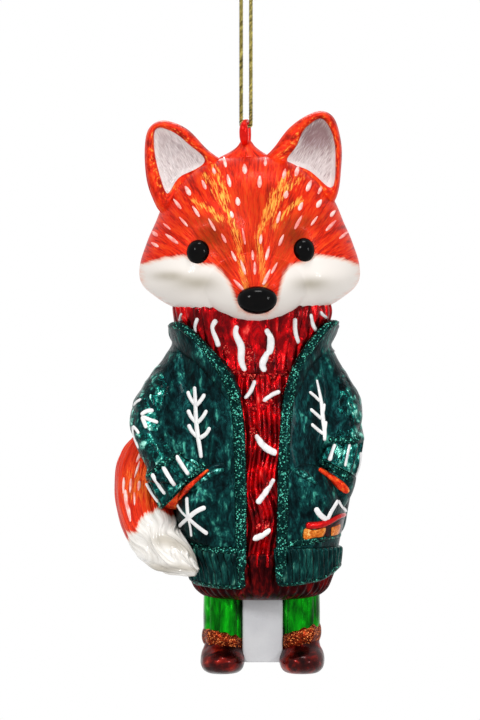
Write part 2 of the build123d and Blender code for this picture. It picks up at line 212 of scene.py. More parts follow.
def makePiece(name, sheets, paint, slot, replaces=(), body="fox", facing=None, wall=None, keep=None):
    # Sheets of points in millimetres become one mesh. `wall` gives it a thickness inward.
    points, faces, marks, start = [], [], {}, 0
    for sheet in sheets:
        rows, columns, _ = sheet["points"].shape
        flat = sheet["points"].reshape(-1, 3)
        own = sheetFaces(rows, columns, sheet["closed"])
        if keep is not None:
            own = own[keep(sheet)[own].all(axis=1)]
        if not facesOutward(flat, own, facing):
            own = own[:, ::-1]
        points.append(flat)
        faces.append(own + start)
        start += len(flat)
        for mark, values in sheet["marks"].items():
            marks.setdefault(mark, []).append(np.broadcast_to(values, (rows, columns) + np.shape(values)[2:]))
    points, faces = np.concatenate(points), np.concatenate(faces)
    shapes[name] = (points, faces)
    mesh = bpy.data.meshes.new(name)
    mesh.vertices.add(len(points))
    mesh.vertices.foreach_set("co", (points * mm).ravel())
    mesh.loops.add(faces.size)
    mesh.loops.foreach_set("vertex_index", faces.ravel().astype(np.int32))
    mesh.polygons.add(len(faces))
    mesh.polygons.foreach_set("loop_start", np.arange(len(faces), dtype=np.int32) * 4)
    for mark, parts in marks.items():
        values = np.concatenate([part.reshape(-1, *part.shape[2:]) for part in parts])
        kind, slotName = ("FLOAT_VECTOR", "vector") if values.ndim == 2 else ("FLOAT", "value")
        mesh.attributes.new(mark, kind, "POINT").data.foreach_set(slotName, values.astype(np.float32).ravel())
    mesh.update(calc_edges=True)
    tidy = bmesh.new()
    tidy.from_mesh(mesh)
    bmesh.ops.remove_doubles(tidy, verts=tidy.verts, dist=2e-6)
    loose = [vertex for vertex in tidy.verts if not vertex.link_faces]
    bmesh.ops.delete(tidy, geom=loose, context="VERTS")
    tidy.to_mesh(mesh)
    tidy.free()
    mesh.shade_smooth()
    mesh.materials.append(paint)
    piece = bpy.data.objects.new(name, mesh)
    bpy.context.scene.collection.objects.link(piece)
    if wall:
        shell = piece.modifiers.new("glassWall", "SOLIDIFY")
        shell.thickness = wall * mm
        shell.offset = -1
    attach(piece, body)
    if replaces:
        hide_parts(*replaces)
    pieces[name] = piece
    return piece


def treeOf(*names):
    # What strokes are laid on: the listed pieces as one ray target.
    points = np.concatenate([shapes[name][0] for name in names])
    starts = np.cumsum([0] + [len(shapes[name][0]) for name in names[:-1]])
    faces = np.concatenate([shapes[name][1] + start for name, start in zip(names, starts)])
    return BVHTree.FromPolygons(points.tolist(), faces.tolist())


def landed(tree, path, reach=60.0):
    # Where a path in the front view meets the target, and the surface's normals there.
    hits = [tree.ray_cast(Vector((x, -reach, z)), Vector((0, 1, 0))) for x, z in path]
    good = [k for k, hit in enumerate(hits) if hit[0] is not None]
    depth = np.interp(np.arange(len(path)), good, [hits[k][0].y for k in good])
    normals = np.array([hits[min(good, key=lambda g: abs(g - k))][1] for k in range(len(path))])
    normals[normals[:, 1] > 0] *= -1
    return stack(path[:, 0], depth, path[:, 1]), normals


def blur(values, times):
    # Each value becomes a quarter of both neighbours and half of itself, so many times.
    for _ in range(times):
        padded = np.concatenate([values[:1], values, values[-1:]])
        values = (padded[:-2] + 2 * padded[1:-1] + padded[2:]) / 4
    return values


def stroke(tree, pixels, widths, proud, count=None, sides=10, soften=3, sink=0.4):
    # An ellipse, as wide as the stroke and `proud` high, carried along a path laid on the target.
    # It narrows to a point within half a width of both ends, which rounds them.
    path = smoothPath(spots(pixels), 60)
    length = np.linalg.norm(np.diff(path, axis=0), axis=1).sum()
    count = count or int(np.clip(length / 0.22, 12, 240))
    half = np.asarray(widths, float) / 2 * photo["pixel"]
    way = 0.5 - 0.5 * np.cos(np.linspace(0, math.pi, count)) if count < 30 else np.linspace(0, 1, count)
    path = smoothPath(spots(pixels), max(count, 200))
    if count < 200:
        path = path[np.round(way * 199).astype(int)]
    centre, normal = landed(tree, path)
    centre[:, 1] = blur(centre[:, 1], soften)
    normal = unit(blur(normal, soften))
    side = unit(np.cross(normal, np.gradient(centre, axis=0)))
    half = np.interp(way, np.linspace(0, 1, half.size), half.reshape(-1))
    toEnd = np.minimum(way, 1 - way) * length
    taper = np.sqrt(1 - (1 - np.clip(toEnd / half, 0, 1)) ** 2)
    turn = np.arange(sides) * 2 * math.pi / sides
    lift = np.where(np.sin(turn) > 0, proud, sink) * np.sin(turn)
    out = centre[:, None] + side[:, None] * (half * taper)[:, None, None] * np.cos(turn)[None, :, None]
    out = out + normal[:, None] * taper[:, None, None] * lift[None, :, None]
    return grid(out, closed=True)


def limb(stations, columns, rows, shape=None):
    # A tube through stations of (column, row, depth, half width, half depth): a spline carries
    # its centre, each section is an ellipse square to the path, and `shape` adds to its radius.
    stations = np.asarray(stations, float)
    route = np.concatenate([spots(stations[:, :2]), stations[:, 2:]], axis=1)
    line = smoothPath(route, rows)
    centre = stack(line[:, 0], line[:, 2], line[:, 1])
    ahead = unit(np.gradient(centre, axis=0))
    side = unit(np.cross([0.0, 1.0, 0.0], ahead))
    front = np.cross(ahead, side)
    turn = roundTurn(columns)
    extra = 0 if shape is None else shape(np.linspace(0, 1, rows)[:, None], turn[None, :])
    wide = line[:, 3:4] + extra
    deep = line[:, 4:5] + extra
    out = centre[:, None] + side[:, None] * (wide * np.cos(turn))[..., None]
    return out + front[:, None] * (deep * np.sin(turn))[..., None]


class FrontTable:
    # The front of a form as depths over x and z, read back between its entries.
    def __init__(self, xs, zs, depths):
        self.xs, self.zs, self.depths = xs, zs, depths

    def at(self, x, z):
        # Between the four nearest entries, in proportion to the place among them.
        x, z = np.broadcast_arrays(np.asarray(x, float), np.asarray(z, float))
        u = np.clip((x - self.xs[0]) / (self.xs[1] - self.xs[0]), 0, len(self.xs) - 1.001)
        v = np.clip((z - self.zs[0]) / (self.zs[1] - self.zs[0]), 0, len(self.zs) - 1.001)
        i, j = u.astype(int), v.astype(int)
        u, v = u - i, v - j
        low = self.depths[j, i] * (1 - u) + self.depths[j, i + 1] * u
        high = self.depths[j + 1, i] * (1 - u) + self.depths[j + 1, i + 1] * u
        return low * (1 - v) + high * v


# Materials

def rgb(red, green, blue):
    # A screen colour, 0 to 255, as the shader's linear values.
    screen = np.array([red, green, blue]) / 255
    linear = np.where(screen <= 0.04045, screen / 12.92, ((screen + 0.055) / 1.055) ** 2.4)
    return (*linear.tolist(), 1.0)


class Wire:
    # One value of a material. Arithmetic on it adds Math nodes.
    def __init__(self, paint, socket):
        self.paint, self.socket = paint, socket

    def __add__(self, other):
        return self.paint.math("ADD", self, other)

    def __sub__(self, other):
        return self.paint.math("SUBTRACT", self, other)

    def __rsub__(self, other):
        return self.paint.math("SUBTRACT", other, self)

    def __mul__(self, other):
        return self.paint.math("MULTIPLY", self, other)

    __radd__ = __add__
    __rmul__ = __mul__


class Paint:
    # A material under construction, or the nodes of another owner such as the world.
    def __init__(self, name, owner=None):
        self.material = bpy.data.materials.new(name) if owner is None else owner
        self.material.use_nodes = True
        self.tree = self.material.node_tree
        self.tree.nodes.clear()

    def node(self, kind, settings=None, inputs=None, output=0):
        # Adds a node. An input is a wire or a plain value, and the chosen output comes back as a wire.
        made = self.tree.nodes.new(kind)
        for key, value in (settings or {}).items():
            if key == "stops":
                ramp = made.color_ramp.elements
                while len(ramp) < len(value):
                    ramp.new(0.5)
                for stop, (place, colour) in zip(ramp, value):
                    stop.position, stop.color = place, colour
            else:
                setattr(made, key, value)
        for key, value in (inputs or {}).items():
            socket = made.inputs[key]
            if isinstance(value, Wire):
                self.tree.links.new(value.socket, socket)
            else:
                socket.default_value = value
        return None if output is None else Wire(self, made.outputs[output])

    def math(self, operation, first, second):
        # One step of arithmetic.
        return self.node("ShaderNodeMath", {"operation": operation}, {0: first, 1: second})

    def step(self, value, low, high):
        # 0 below `low`, 1 above `high`, smooth between.
        return self.node(
            "ShaderNodeMapRange",
            {"interpolation_type": "SMOOTHSTEP"},
            {"Value": value, "From Min": low, "From Max": high},
        )

    def mix(self, share, low, high):
        # From one colour to another by a share of 0 to 1.
        return self.node("ShaderNodeMix", {"data_type": "RGBA"}, {0: share, 6: low, 7: high}, output=2)

    def ramp(self, value, *stops):
        # A value's colour between fixed stops of (place, colour).
        return self.node("ShaderNodeValToRGB", {"stops": stops}, {"Fac": value})

    def place(self, stretch=(1, 1, 1)):
        # The piece's own coordinates, multiplied along each axis.
        here = self.node("ShaderNodeTexCoord", output="Object")
        return self.node("ShaderNodeMapping", None, {"Vector": here, "Scale": stretch})

    def mark(self, name, output="Fac"):
        # A named value that the mesh carries at its points.
        return self.node("ShaderNodeAttribute", {"attribute_name": name}, output=output)

    def noise(self, where, size, detail=3.0, rough=0.5, distortion=0.0):
        # Cloudy noise with lumps of about one size.
        inputs = {"Vector": where, "Scale": 1 / size, "Detail": detail}
        inputs.update({"Roughness": rough, "Distortion": distortion})
        return self.node("ShaderNodeTexNoise", None, inputs)

    def cells(self, where, size, output="Color"):
        # Random cells of about one size, each with its own colour.
        inputs = {"Vector": where, "Scale": 1 / size}
        return self.node("ShaderNodeTexVoronoi", {"feature": "F1"}, inputs, output)

    def bump(self, value, depth):
        # The surface's tilt from a value that stands for height, so many metres deep.
        return self.node("ShaderNodeBump", None, {"Height": value, "Distance": depth, "Strength": 1.0})

    def finish(self, **inputs):
        # The surface from the named inputs, with _ for a space.
        named = {key.replace("_", " "): value for key, value in inputs.items()}
        shader = self.node("ShaderNodeBsdfPrincipled", None, named)
        self.node("ShaderNodeOutputMaterial", None, {"Surface": shader}, output=None)
        return self.material


def glitterPaint(name, look):
    # Flakes: one random brightness and tilt for each cell. The rare bright cells are painted sparkle, a
    # painted highlight of flakes that catch the light.
    paint = Paint(name)
    here = paint.place()
    flake = paint.node("ShaderNodeSeparateColor", None, {"Color": paint.cells(here, look["flake"])})
    second = paint.node("ShaderNodeSeparateColor", None, {"Color": paint.cells(here, look["flake"] * 1.7)})
    patch = paint.noise(here, 0.003, 3.0)
    # painted sparkle: the rare cells that take the bright colour
    paintedSparkle = paint.step(flake + patch * 0.35, look["rare"], look["rare"] + 0.22)
    base = paint.mix(second, look["dark"], look["base"])
    return paint.finish(
        Base_Color=paint.mix(paintedSparkle, base, look["bright"]),
        Metallic=0.75,
        Roughness=paint.step(flake, 0.0, 1.0) * 0.35 + 0.2,
        Specular_IOR_Level=0.1,
        Normal=paint.bump(flake + second * 0.6, 0.00016),
    )


def foilPaint(name, look):
    # Tinted lacquer on silver, with dents that catch the light. Its dark, middle, light and glint patches are
    # painted reflection of the dented silver, from painted shade up to painted glints.
    paint = Paint(name)
    here = paint.place(look["stretch"])
    broad = paint.noise(here, look["drift"], 4.0, 0.6, 0.9)
    fine = paint.noise(here, look["grain"], 3.0, 0.6, 0.4)
    # painted reflection: this share picks the colour, from painted shade to painted glint
    tone = paint.step(broad * 0.62 + fine * 0.38, look["low"], look["high"])
    colour = paint.ramp(
        tone, (0.0, look["dark"]), (0.4, look["middle"]), (0.72, look["light"]), (0.98, look["glint"])
    )
    dent = broad * 0.7 + fine * 0.3
    return paint.finish(
        Base_Color=colour,
        Metallic=look["metal"],
        Roughness=paint.step(fine, 0.3, 0.8) * 0.2 + look["rough"],
        Specular_IOR_Level=0.08,
        Coat_Weight=look["coat"],
        Coat_Roughness=0.07,
        Normal=paint.bump(dent, look["dent"]),
    )


def furPaint(name, look):
    # Brushed lacquer: streaks run along the piece's own fur lines, gold where the gold mark says,
    # darker by the shade mark, and pearl where the white mark is above zero, with a furry edge.
    paint = Paint(name)
    lines = paint.mark("fur", "Vector")
    thick = paint.noise(lines, 1.0, 4.0, 0.62, 0.3)
    thin = paint.noise(lines, 0.3, 4.0, 0.6, 0.2)
    hairs = paint.noise(lines, 0.16, 3.0, 0.6)
    streak = thick * 0.6 + thin * 0.4
    colour = paint.ramp(
        paint.step(streak, 0.33, 0.68), (0.0, look["deep"]), (0.45, look["main"]), (1.0, look["light"])
    )
    shade = paint.mark("shade") * paint.step(thin, 0.2, 0.7)
    colour = paint.mix(shade, colour, look["shade"])
    strips = (thin * 0.75 + hairs * 0.25 - 0.5) * look["strips"]
    gold = paint.step(paint.mark("gold") * 0.62 + strips, 0.38, 0.92)
    colour = paint.mix(gold * 0.8, colour, look["gold"])
    edge = paint.mark("white") + (streak - 0.5) * look["edge"]
    white = paint.step(edge, -0.35, 0.35)
    cloud = paint.noise(paint.place(), 0.006, 2.0)
    # painted shade in the grooves: greyer where the streak is low, which is where the bump sinks
    strand = (1 - paint.step(streak, 0.38, 0.56)) * look["grooveShade"]
    # painted shade: the pearl turns grey by the grey-shade mark, varied by noise, or by the groove shade
    grey = paint.math("MAXIMUM", paint.mark("cloud") * (cloud * 0.6 + 0.6), strand)
    pearl = paint.mix(grey, look["pearl"], look["grey"])
    rim = paint.step(edge, 0.0, 1.1)
    pearl = paint.mix(rim, look["blush"], pearl)
    return paint.finish(
        Base_Color=paint.mix(white, colour, pearl),
        Metallic=(1 - white) * 0.28,
        Roughness=look["rough"] - white * 0.06,
        Specular_IOR_Level=0.12,
        Coat_Weight=white * look["gloss"] + look["coat"],
        Coat_Roughness=0.08,
        Normal=paint.bump(streak * (1 - white * look["calm"]), look["groove"]),
    )


def linePaint(name, look):
    # Brushed enamel of the ears' insides: fine strokes, greyer by the shade mark.
    paint = Paint(name)
    lines = paint.mark("fur", "Vector")
    hairs = paint.noise(lines, 0.5, 4.0, 0.65)
    pits = paint.cells(paint.place(), 0.0011, output="Distance")
    tone = paint.mark("shade") + (hairs - 0.5) * 1.7
    colour = paint.mix(paint.step(tone, 0.1, 0.9), look["light"], look["dark"])
    return paint.finish(
        Base_Color=colour,
        Metallic=0.35,
        Roughness=hairs * 0.25 + 0.25,
        Specular_IOR_Level=0.3,
        Coat_Weight=0.3,
        Coat_Roughness=0.1,
        Normal=paint.bump(hairs + pits * 0.15, 0.0005),
    )


def glossPaint(name, look):
    # A smooth enamel with a faint drift of tone and an orange-peel surface.
    paint = Paint(name)
    here = paint.place()
    drift = paint.noise(here, look["drift"], 3.0)
    peel = paint.noise(here, look["peel"], 2.0)
    return paint.finish(
        Base_Color=paint.mix(paint.step(drift, 0.3, 0.7), look["base"], look["second"]),
        Metallic=look["metal"],
        Roughness=look["rough"] + drift * look["uneven"],
        Specular_IOR_Level=look["shine"],
        Coat_Weight=look["coat"],
        Coat_Roughness=0.04,
        Normal=paint.bump(peel, look["bump"]),
    )


def cordPaint(name, look):
    # Metallic thread: filaments run along each strand, so the tone follows its own marks. The tone from dark
    # to bright is painted reflection, with painted flashes of highlight in random cells.
    paint = Paint(name)
    lines = paint.mark("thread", "Vector")
    hairs = paint.noise(lines, 1.0, 3.0, 0.6)
    paintedFlash = paint.node("ShaderNodeSeparateColor", None, {"Color": paint.cells(lines, 1.3)})
    # painted reflection: dark to bright along the filaments, brightest in the flash cells
    tone = paint.step(hairs * 0.6 + paintedFlash * 0.4, 0.3, 0.75)
    return paint.finish(
        Base_Color=paint.ramp(tone, (0.0, look["dark"]), (0.5, look["middle"]), (1.0, look["bright"])),
        Metallic=0.75,
        Roughness=0.45 - tone * 0.2,
        Normal=paint.bump(hairs, 0.00008),
    )


furLook = {
    "deep": rgb(142, 16, 2), "main": rgb(222, 34, 4), "light": rgb(240, 72, 18), "shade": rgb(140, 50, 5),
    "gold": rgb(252, 186, 76), "pearl": rgb(236, 229, 222), "grey": rgb(182, 174, 160),
    "blush": rgb(238, 186, 166), "edge": 2.2, "calm": 0.95, "groove": 0.00035, "grooveShade": 0.0,
    "strips": 3.0, "rough": 0.36, "coat": 0.02, "gloss": 0.09,
}
paints = {
    "fur": furPaint("brushedFur", furLook),
    "tailFur": furPaint("brushedTail", {
        **furLook, "calm": 0.2, "groove": 0.0007, "edge": 5.0, "grooveShade": 0.35, "grey": rgb(184, 174, 156),
        "pearl": rgb(248, 244, 238), "deep": rgb(184, 26, 5), "main": rgb(230, 44, 7),
        "gold": rgb(252, 150, 50), "strips": 1.3, "rough": 0.28, "coat": 0.05, "gloss": 0.8,
    }),
    "jacket": foilPaint("jacketLacquer", {
        "stretch": (1, 1, 0.5), "drift": 0.003, "grain": 0.0009, "low": 0.34, "high": 0.70,
        "dark": rgb(1, 10, 13), "middle": rgb(4, 35, 37), "light": rgb(12, 64, 62),
        "glint": rgb(64, 148, 130), "metal": 0.8, "rough": 0.3, "coat": 0.03, "dent": 0.0005,
    }),
    "sleeve": foilPaint("sleeveFoil", {
        "stretch": (1, 1, 0.8), "drift": 0.0030, "grain": 0.0015, "low": 0.36, "high": 0.67,
        "dark": rgb(1, 10, 12), "middle": rgb(4, 46, 46), "light": rgb(20, 114, 102),
        "glint": rgb(170, 244, 224), "metal": 0.9, "rough": 0.16, "coat": 0.06, "dent": 0.0011,
    }),
    "cuff": foilPaint("cuffFoil", {
        "stretch": (1, 1, 0.6), "drift": 0.003, "grain": 0.0011, "low": 0.34, "high": 0.67,
        "dark": rgb(1, 12, 14), "middle": rgb(4, 44, 44), "light": rgb(18, 96, 88),
        "glint": rgb(140, 224, 204), "metal": 0.9, "rough": 0.18, "coat": 0.05, "dent": 0.0006,
    }),
    # lighter than the jacket: a painted highlight along the pockets' mouths
    "fold": foilPaint("foldFoil", {
        "stretch": (1, 1, 1), "drift": 0.0016, "grain": 0.0008, "low": 0.3, "high": 0.66,
        "dark": rgb(2, 18, 20), "middle": rgb(6, 48, 47), "light": rgb(26, 104, 96),
        "glint": rgb(124, 212, 196), "metal": 0.8, "rough": 0.22, "coat": 0.06, "dent": 0.0003,
    }),
    "ribbedGreen": foilPaint("ribbedLacquer", {
        "stretch": (1, 1, 0.25), "drift": 0.0024, "grain": 0.0008, "low": 0.32, "high": 0.72,
        "dark": rgb(1, 13, 15), "middle": rgb(5, 42, 42), "light": rgb(24, 82, 75),
        "glint": rgb(118, 182, 158), "metal": 0.8, "rough": 0.24, "coat": 0.04, "dent": 0.0003,
    }),
    "sweater": foilPaint("sweaterFoil", {
        "stretch": (1, 1, 0.5), "drift": 0.0034, "grain": 0.002, "low": 0.32, "high": 0.74,
        "dark": rgb(46, 0, 2), "middle": rgb(136, 1, 8), "light": rgb(206, 6, 14), "glint": rgb(255, 92, 82),
        "metal": 0.8, "rough": 0.16, "coat": 0.08, "dent": 0.0007,
    }),
    "hem": foilPaint("hemLacquer", {
        "stretch": (1, 1, 0.3), "drift": 0.003, "grain": 0.0009, "low": 0.34, "high": 0.72,
        "dark": rgb(12, 1, 2), "middle": rgb(50, 3, 6), "light": rgb(98, 9, 10), "glint": rgb(160, 34, 28),
        "metal": 0.75, "rough": 0.36, "coat": 0.0, "dent": 0.0003,
    }),
    "trousers": foilPaint("trouserFoil", {
        "stretch": (1, 1, 0.3), "drift": 0.0034, "grain": 0.0018, "low": 0.32, "high": 0.74,
        "dark": rgb(0, 34, 4), "middle": rgb(3, 116, 9), "light": rgb(8, 160, 16), "glint": rgb(84, 220, 80),
        "metal": 0.75, "rough": 0.2, "coat": 0.03, "dent": 0.0004,
    }),
    "boots": foilPaint("bootLacquer", {
        "stretch": (1, 1, 1), "drift": 0.007, "grain": 0.004, "low": 0.37, "high": 0.73,
        "dark": rgb(14, 3, 4), "middle": rgb(62, 7, 6), "light": rgb(122, 18, 10), "glint": rgb(198, 60, 30),
        "metal": 0.6, "rough": 0.22, "coat": 0.12, "dent": 0.0003,
    }),
    "patch": foilPaint("patchLacquer", {
        "stretch": (1, 1, 1), "drift": 0.0022, "grain": 0.0007, "low": 0.3, "high": 0.7,
        "dark": rgb(150, 62, 10), "middle": rgb(208, 104, 26), "light": rgb(232, 140, 52),
        "glint": rgb(252, 200, 120), "metal": 0.6, "rough": 0.2, "coat": 0.12, "dent": 0.0003,
    }),
    "paw": foilPaint("pawLacquer", {
        "stretch": (1, 1, 1), "drift": 0.003, "grain": 0.0009, "low": 0.3, "high": 0.72,
        "dark": rgb(170, 26, 5), "middle": rgb(222, 48, 12), "light": rgb(238, 88, 26),
        "glint": rgb(252, 170, 84), "metal": 0.5, "rough": 0.18, "coat": 0.12, "dent": 0.0003,
    }),
    "greenGlitter": glitterPaint("greenGlitter", {
        "flake": 0.00026, "rare": 0.98, "dark": rgb(1, 22, 22), "base": rgb(5, 50, 47),
        "bright": rgb(96, 206, 180),
    }),
    "redGlitter": glitterPaint("redGlitter", {
        "flake": 0.00026, "rare": 0.96, "dark": rgb(84, 0, 6), "base": rgb(166, 6, 16),
        "bright": rgb(255, 108, 92),
    }),
    "copperGlitter": glitterPaint("copperGlitter", {
        "flake": 0.00023, "rare": 0.96, "dark": rgb(48, 9, 3), "base": rgb(132, 38, 9),
        "bright": rgb(255, 150, 84),
    }),
    "redGlass": glossPaint("redGlass", {
        "base": rgb(206, 14, 8), "second": rgb(236, 34, 16), "drift": 0.002, "peel": 0.0012, "metal": 0.5,
        "rough": 0.1, "uneven": 0.05, "coat": 0.08, "bump": 0.00006, "shine": 0.12,
    }),
    "black": glossPaint("blackEnamel", {
        "base": rgb(2, 2, 3), "second": rgb(6, 5, 5), "drift": 0.002, "peel": 0.0013, "metal": 0.0,
        "rough": 0.07, "uneven": 0.05, "coat": 0.0, "bump": 0.00005, "shine": 0.07,
    }),
    "enamel": glossPaint("whiteEnamel", {
        "base": rgb(246, 245, 243), "second": rgb(232, 231, 232), "drift": 0.0014,
        "peel": 0.0007, "metal": 0.0, "rough": 0.3, "uneven": 0.15, "coat": 0.13,
        "bump": 0.00012, "shine": 0.2,
    }),
    "fleck": glossPaint("paleFlecks", {
        "base": rgb(255, 220, 212), "second": rgb(248, 142, 130), "drift": 0.0022,
        "peel": 0.0007, "metal": 0.1, "rough": 0.25, "uneven": 0.1, "coat": 0.23,
        "bump": 0.0001, "shine": 0.2,
    }),
    "pinkFleck": glossPaint("pinkFlecks", {
        "base": rgb(255, 196, 186), "second": rgb(246, 120, 112), "drift": 0.0022,
        "peel": 0.0007, "metal": 0.1, "rough": 0.25, "uneven": 0.1, "coat": 0.18,
        "bump": 0.0001, "shine": 0.2,
    }),
    "patchRed": glossPaint("redEnamel", {
        "base": rgb(168, 8, 14), "second": rgb(206, 20, 20), "drift": 0.002, "peel": 0.0009, "metal": 0.6,
        "rough": 0.2, "uneven": 0.1, "coat": 0.06, "bump": 0.0001, "shine": 0.1,
    }),
    "web": glossPaint("mattGrey", {
        "base": rgb(204, 204, 206), "second": rgb(194, 194, 197), "drift": 0.007,
        "peel": 0.0009, "metal": 0.0, "rough": 0.5, "uneven": 0.15, "coat": 0.05,
        "bump": 0.00008, "shine": 0.2,
    }),
    "leftLining": linePaint("leftEarEnamel", {"light": rgb(238, 233, 231), "dark": rgb(160, 142, 144)}),
    "rightLining": linePaint("rightEarEnamel", {"light": rgb(232, 225, 223), "dark": rgb(146, 118, 120)}),
    "cord": cordPaint("goldThread", {
        "dark": rgb(34, 30, 7), "middle": rgb(122, 106, 30), "bright": rgb(250, 238, 146),
    }),
}
print("materials", len(paints))


# Camera

camera = {
    "elevation": 1.0, "distance": 1600.0, "sensor": 36, "column": 240.0, "row": 360.3, "depth": -5.0,
}


def makeCamera(look):
    # The lens makes the picture's long side as tall as it is in the photograph at the camera's distance.
    aim = Vector((float(across(look["column"])), look["depth"], float(height(look["row"])))) * mm
    rise = math.radians(look["elevation"])
    back = Vector((0, -math.cos(rise), math.sin(rise)))
    made = bpy.data.objects.new("camera", bpy.data.cameras.new("camera"))
    made.data.sensor_width = look["sensor"]
    made.data.lens = look["sensor"] * look["distance"] / (photo["rows"] * photo["pixel"])
    made.location = aim + back * look["distance"] * mm
    made.rotation_euler = (-back).to_track_quat("-Z", "Y").to_euler()
    bpy.context.scene.collection.objects.link(made)
    bpy.context.scene.camera = made


makeCamera(camera)

# Cord: twisted gold thread along the loop's own spline, and its knot above the view

cord = {
    "diameter": 1.0, "offset": 1.2, "top": -0.1, "strand": -34.8, "straight": 6.0, "turn": -14.0,
    "plies": 3, "plyShare": 0.27, "pitch": 2.3, "sides": 8, "step": 0.16, "knotHeight": 1.5,
    "knotRadius": 1.0, "knotTurns": 3, "knotHalf": 1.55, "endLength": 6.5, "endAngle": 16.0,
}


def turned(points, degrees):
    # About the vertical axis.
    a = math.radians(degrees)
    x, y, z = np.moveaxis(np.asarray(points, float), -1, 0)
    return stack(x * math.cos(a) - y * math.sin(a), x * math.sin(a) + y * math.cos(a), z)


def plies(path, look):
    # Each ply is a tube on a helix about the path; its radius makes the bundle as thick as the cord.
    reach = travelled(path)
    count = int(reach[-1] / look["step"])
    even = np.linspace(0, reach[-1], count)
    line = np.stack([np.interp(even, reach, path[:, k]) for k in range(3)], axis=-1)
    ahead = unit(np.gradient(line, axis=0))
    side = unit(np.cross(ahead, turned([0.0, 1.0, 0.02], look["turn"])))
    front = np.cross(ahead, side)
    ply = look["diameter"] * look["plyShare"]
    turn = np.arange(look["sides"]) * 2 * math.pi / look["sides"]
    sheets = []
    for k in range(look["plies"]):
        twist = even / look["pitch"] * 2 * math.pi + k * 2 * math.pi / look["plies"]
        away = side * np.cos(twist)[:, None] + front * np.sin(twist)[:, None]
        centre = line + away * (look["diameter"] / 2 - ply)
        beside = np.cross(ahead, away)
        swell = np.where(np.minimum(np.arange(count), np.arange(count)[::-1]) == 0, 0.02, 1.0)
        ring = away[:, None] * np.cos(turn)[None, :, None] + beside[:, None] * np.sin(turn)[None, :, None]
        thread = stack(turn[None, :] * 3 + k * 7, even[:, None] * 0.8, np.full(ring.shape[:2], k * 3.0))
        sheets.append(grid(centre[:, None] + ring * (ply * swell)[:, None, None], closed=True, thread=thread))
    return sheets


def cordRoute(look):
    # The loop's points: down one leg, round under the eyelet's strand, up the other leg.
    a, top, low = look["offset"], look["top"], look["strand"]
    near = low + look["straight"] * look["diameter"]
    bottom = low - a
    route = [(-a, top), (-a, near), (-a, low), (-a, bottom), (a, bottom), (a, low), (a, near), (a, top)]
    points = turned([(x, 0, z) for x, z in route], look["turn"]) * mm
    curve = bpy.data.curves.new("cordRoute", "CURVE")
    curve.dimensions = "3D"
    spline = curve.splines.new("NURBS")
    spline.points.add(len(points) - 1)
    for point, place in zip(spline.points, points):
        point.co = (*place, 1)
    spline.order_u = 3
    spline.use_endpoint_u = True
    spline.resolution_u = 24
    holder = bpy.data.objects.new("cordRoute", curve)
    mesh = bpy.data.meshes.new_from_object(holder)
    line = np.empty(len(mesh.vertices) * 3)
    mesh.vertices.foreach_get("co", line)
    bpy.data.objects.remove(holder)
    return line.reshape(-1, 3) / mm


cordLine = cordRoute(cord)
cordPiece = makePiece(
    "goldCord", plies(cordLine, cord), paints["cord"], "gold_cord", ["hanging_cord"], "cord",
)


def knotSheets(look):
    # Turns wound about a level axis, from one leg to the other, and two short ends that lean apart.
    way = np.linspace(0, 1, 160)
    a = way * look["knotTurns"] * 2 * math.pi
    radius = look["knotRadius"]
    coil = stack((way * 2 - 1) * look["knotHalf"], np.sin(a) * radius, -np.cos(a) * radius)
    sheets = plies(turned(coil, look["turn"]) + [0, 0, look["knotHeight"]], look)
    for lean in (-1, 1):
        a = math.radians(look["endAngle"]) * lean
        rise = np.linspace(0, look["endLength"], 50)[:, None]
        end = rise * np.array([math.sin(a), 0, math.cos(a)])
        sheets += plies(turned(end, look["turn"]) + [0, 0, look["knotHeight"]], look)
    return sheets


knotPiece = makePiece("cordKnot", knotSheets(cord), paints["cord"], "gold_cord", ["cord_knot"], "knot")

# Coat: the torso's sections with the sleeves blended in, read as a radius about the torso's axis

coat = {
    # row, left column, right column, half depth in mm
    "rows": [
        (600, 196, 333, 13.8), (584, 194, 334.5, 14.2), (568, 190, 337, 14.7), (552, 183, 338.5, 15.1),
        (536, 177, 341, 15.4), (520, 174, 344.5, 15.5),
        (500, 173.5, 344, 15.4), (460, 173, 339, 15.2), (398, 173.5, 333, 13.95), (362, 172.5, 330, 12.9),
        (345, 172, 331, 12.4), (334, 170, 335, 12.7), (323, 167, 340, 13.2), (316, 165, 342, 13.4),
    ],
    # row, centre column, half width in pixels, centre's depth and half depth in mm
    "left": [
        (340, 200, 5, 0, 3.0), (352, 190, 17.5, 0, 5.0), (360, 183, 19, -0.3, 5.6),
        (368, 176.5, 21.5, -0.6, 6.0), (376, 171, 22, -0.9, 6.2), (384, 166, 22, -1.3, 6.3),
        (392, 160.5, 21.5, -1.8, 6.4), (400, 156, 22, -2.3, 6.4), (408, 154, 22, -2.8, 6.4),
        (424, 152, 22.5, -3.8, 6.2), (440, 157, 23, -5.2, 6.0), (456, 164, 23.5, -6.8, 5.8),
        (472, 172, 26, -8.2, 5.4), (484, 178, 24, -8.8, 4.6), (494, 200, 4, -3, 1.5),
    ],
    "right": [
        (340, 304, 5, 0, 3.0), (352, 313, 17, 0, 5.0), (360, 318, 19, -0.3, 5.4),
        (368, 323.5, 19.5, -0.5, 5.6), (376, 329, 19, -0.8, 5.7), (384, 334.5, 18.5, -1.2, 5.7),
        (392, 339.5, 18.5, -1.6, 5.7), (400, 342.5, 18.5, -2.0, 5.7), (416, 344.5, 18.5, -3.0, 5.6),
        (432, 345.5, 17.5, -4.0, 5.4), (444, 345, 17, -5.0, 5.0), (458, 320, 4, -3, 1.5),
    ],
    "soft": [(340, 4.5), (384, 4.0), (408, 2.2), (440, 1.6), (500, 1.2)],
    "under": 0.12,
    "wall": 1.1,
    # from, to and count of what the front is read at
    "readDegrees": (-100, 100, 801), "readRows": (606, 316, 420), "readColumns": (118, 374, 520),
}


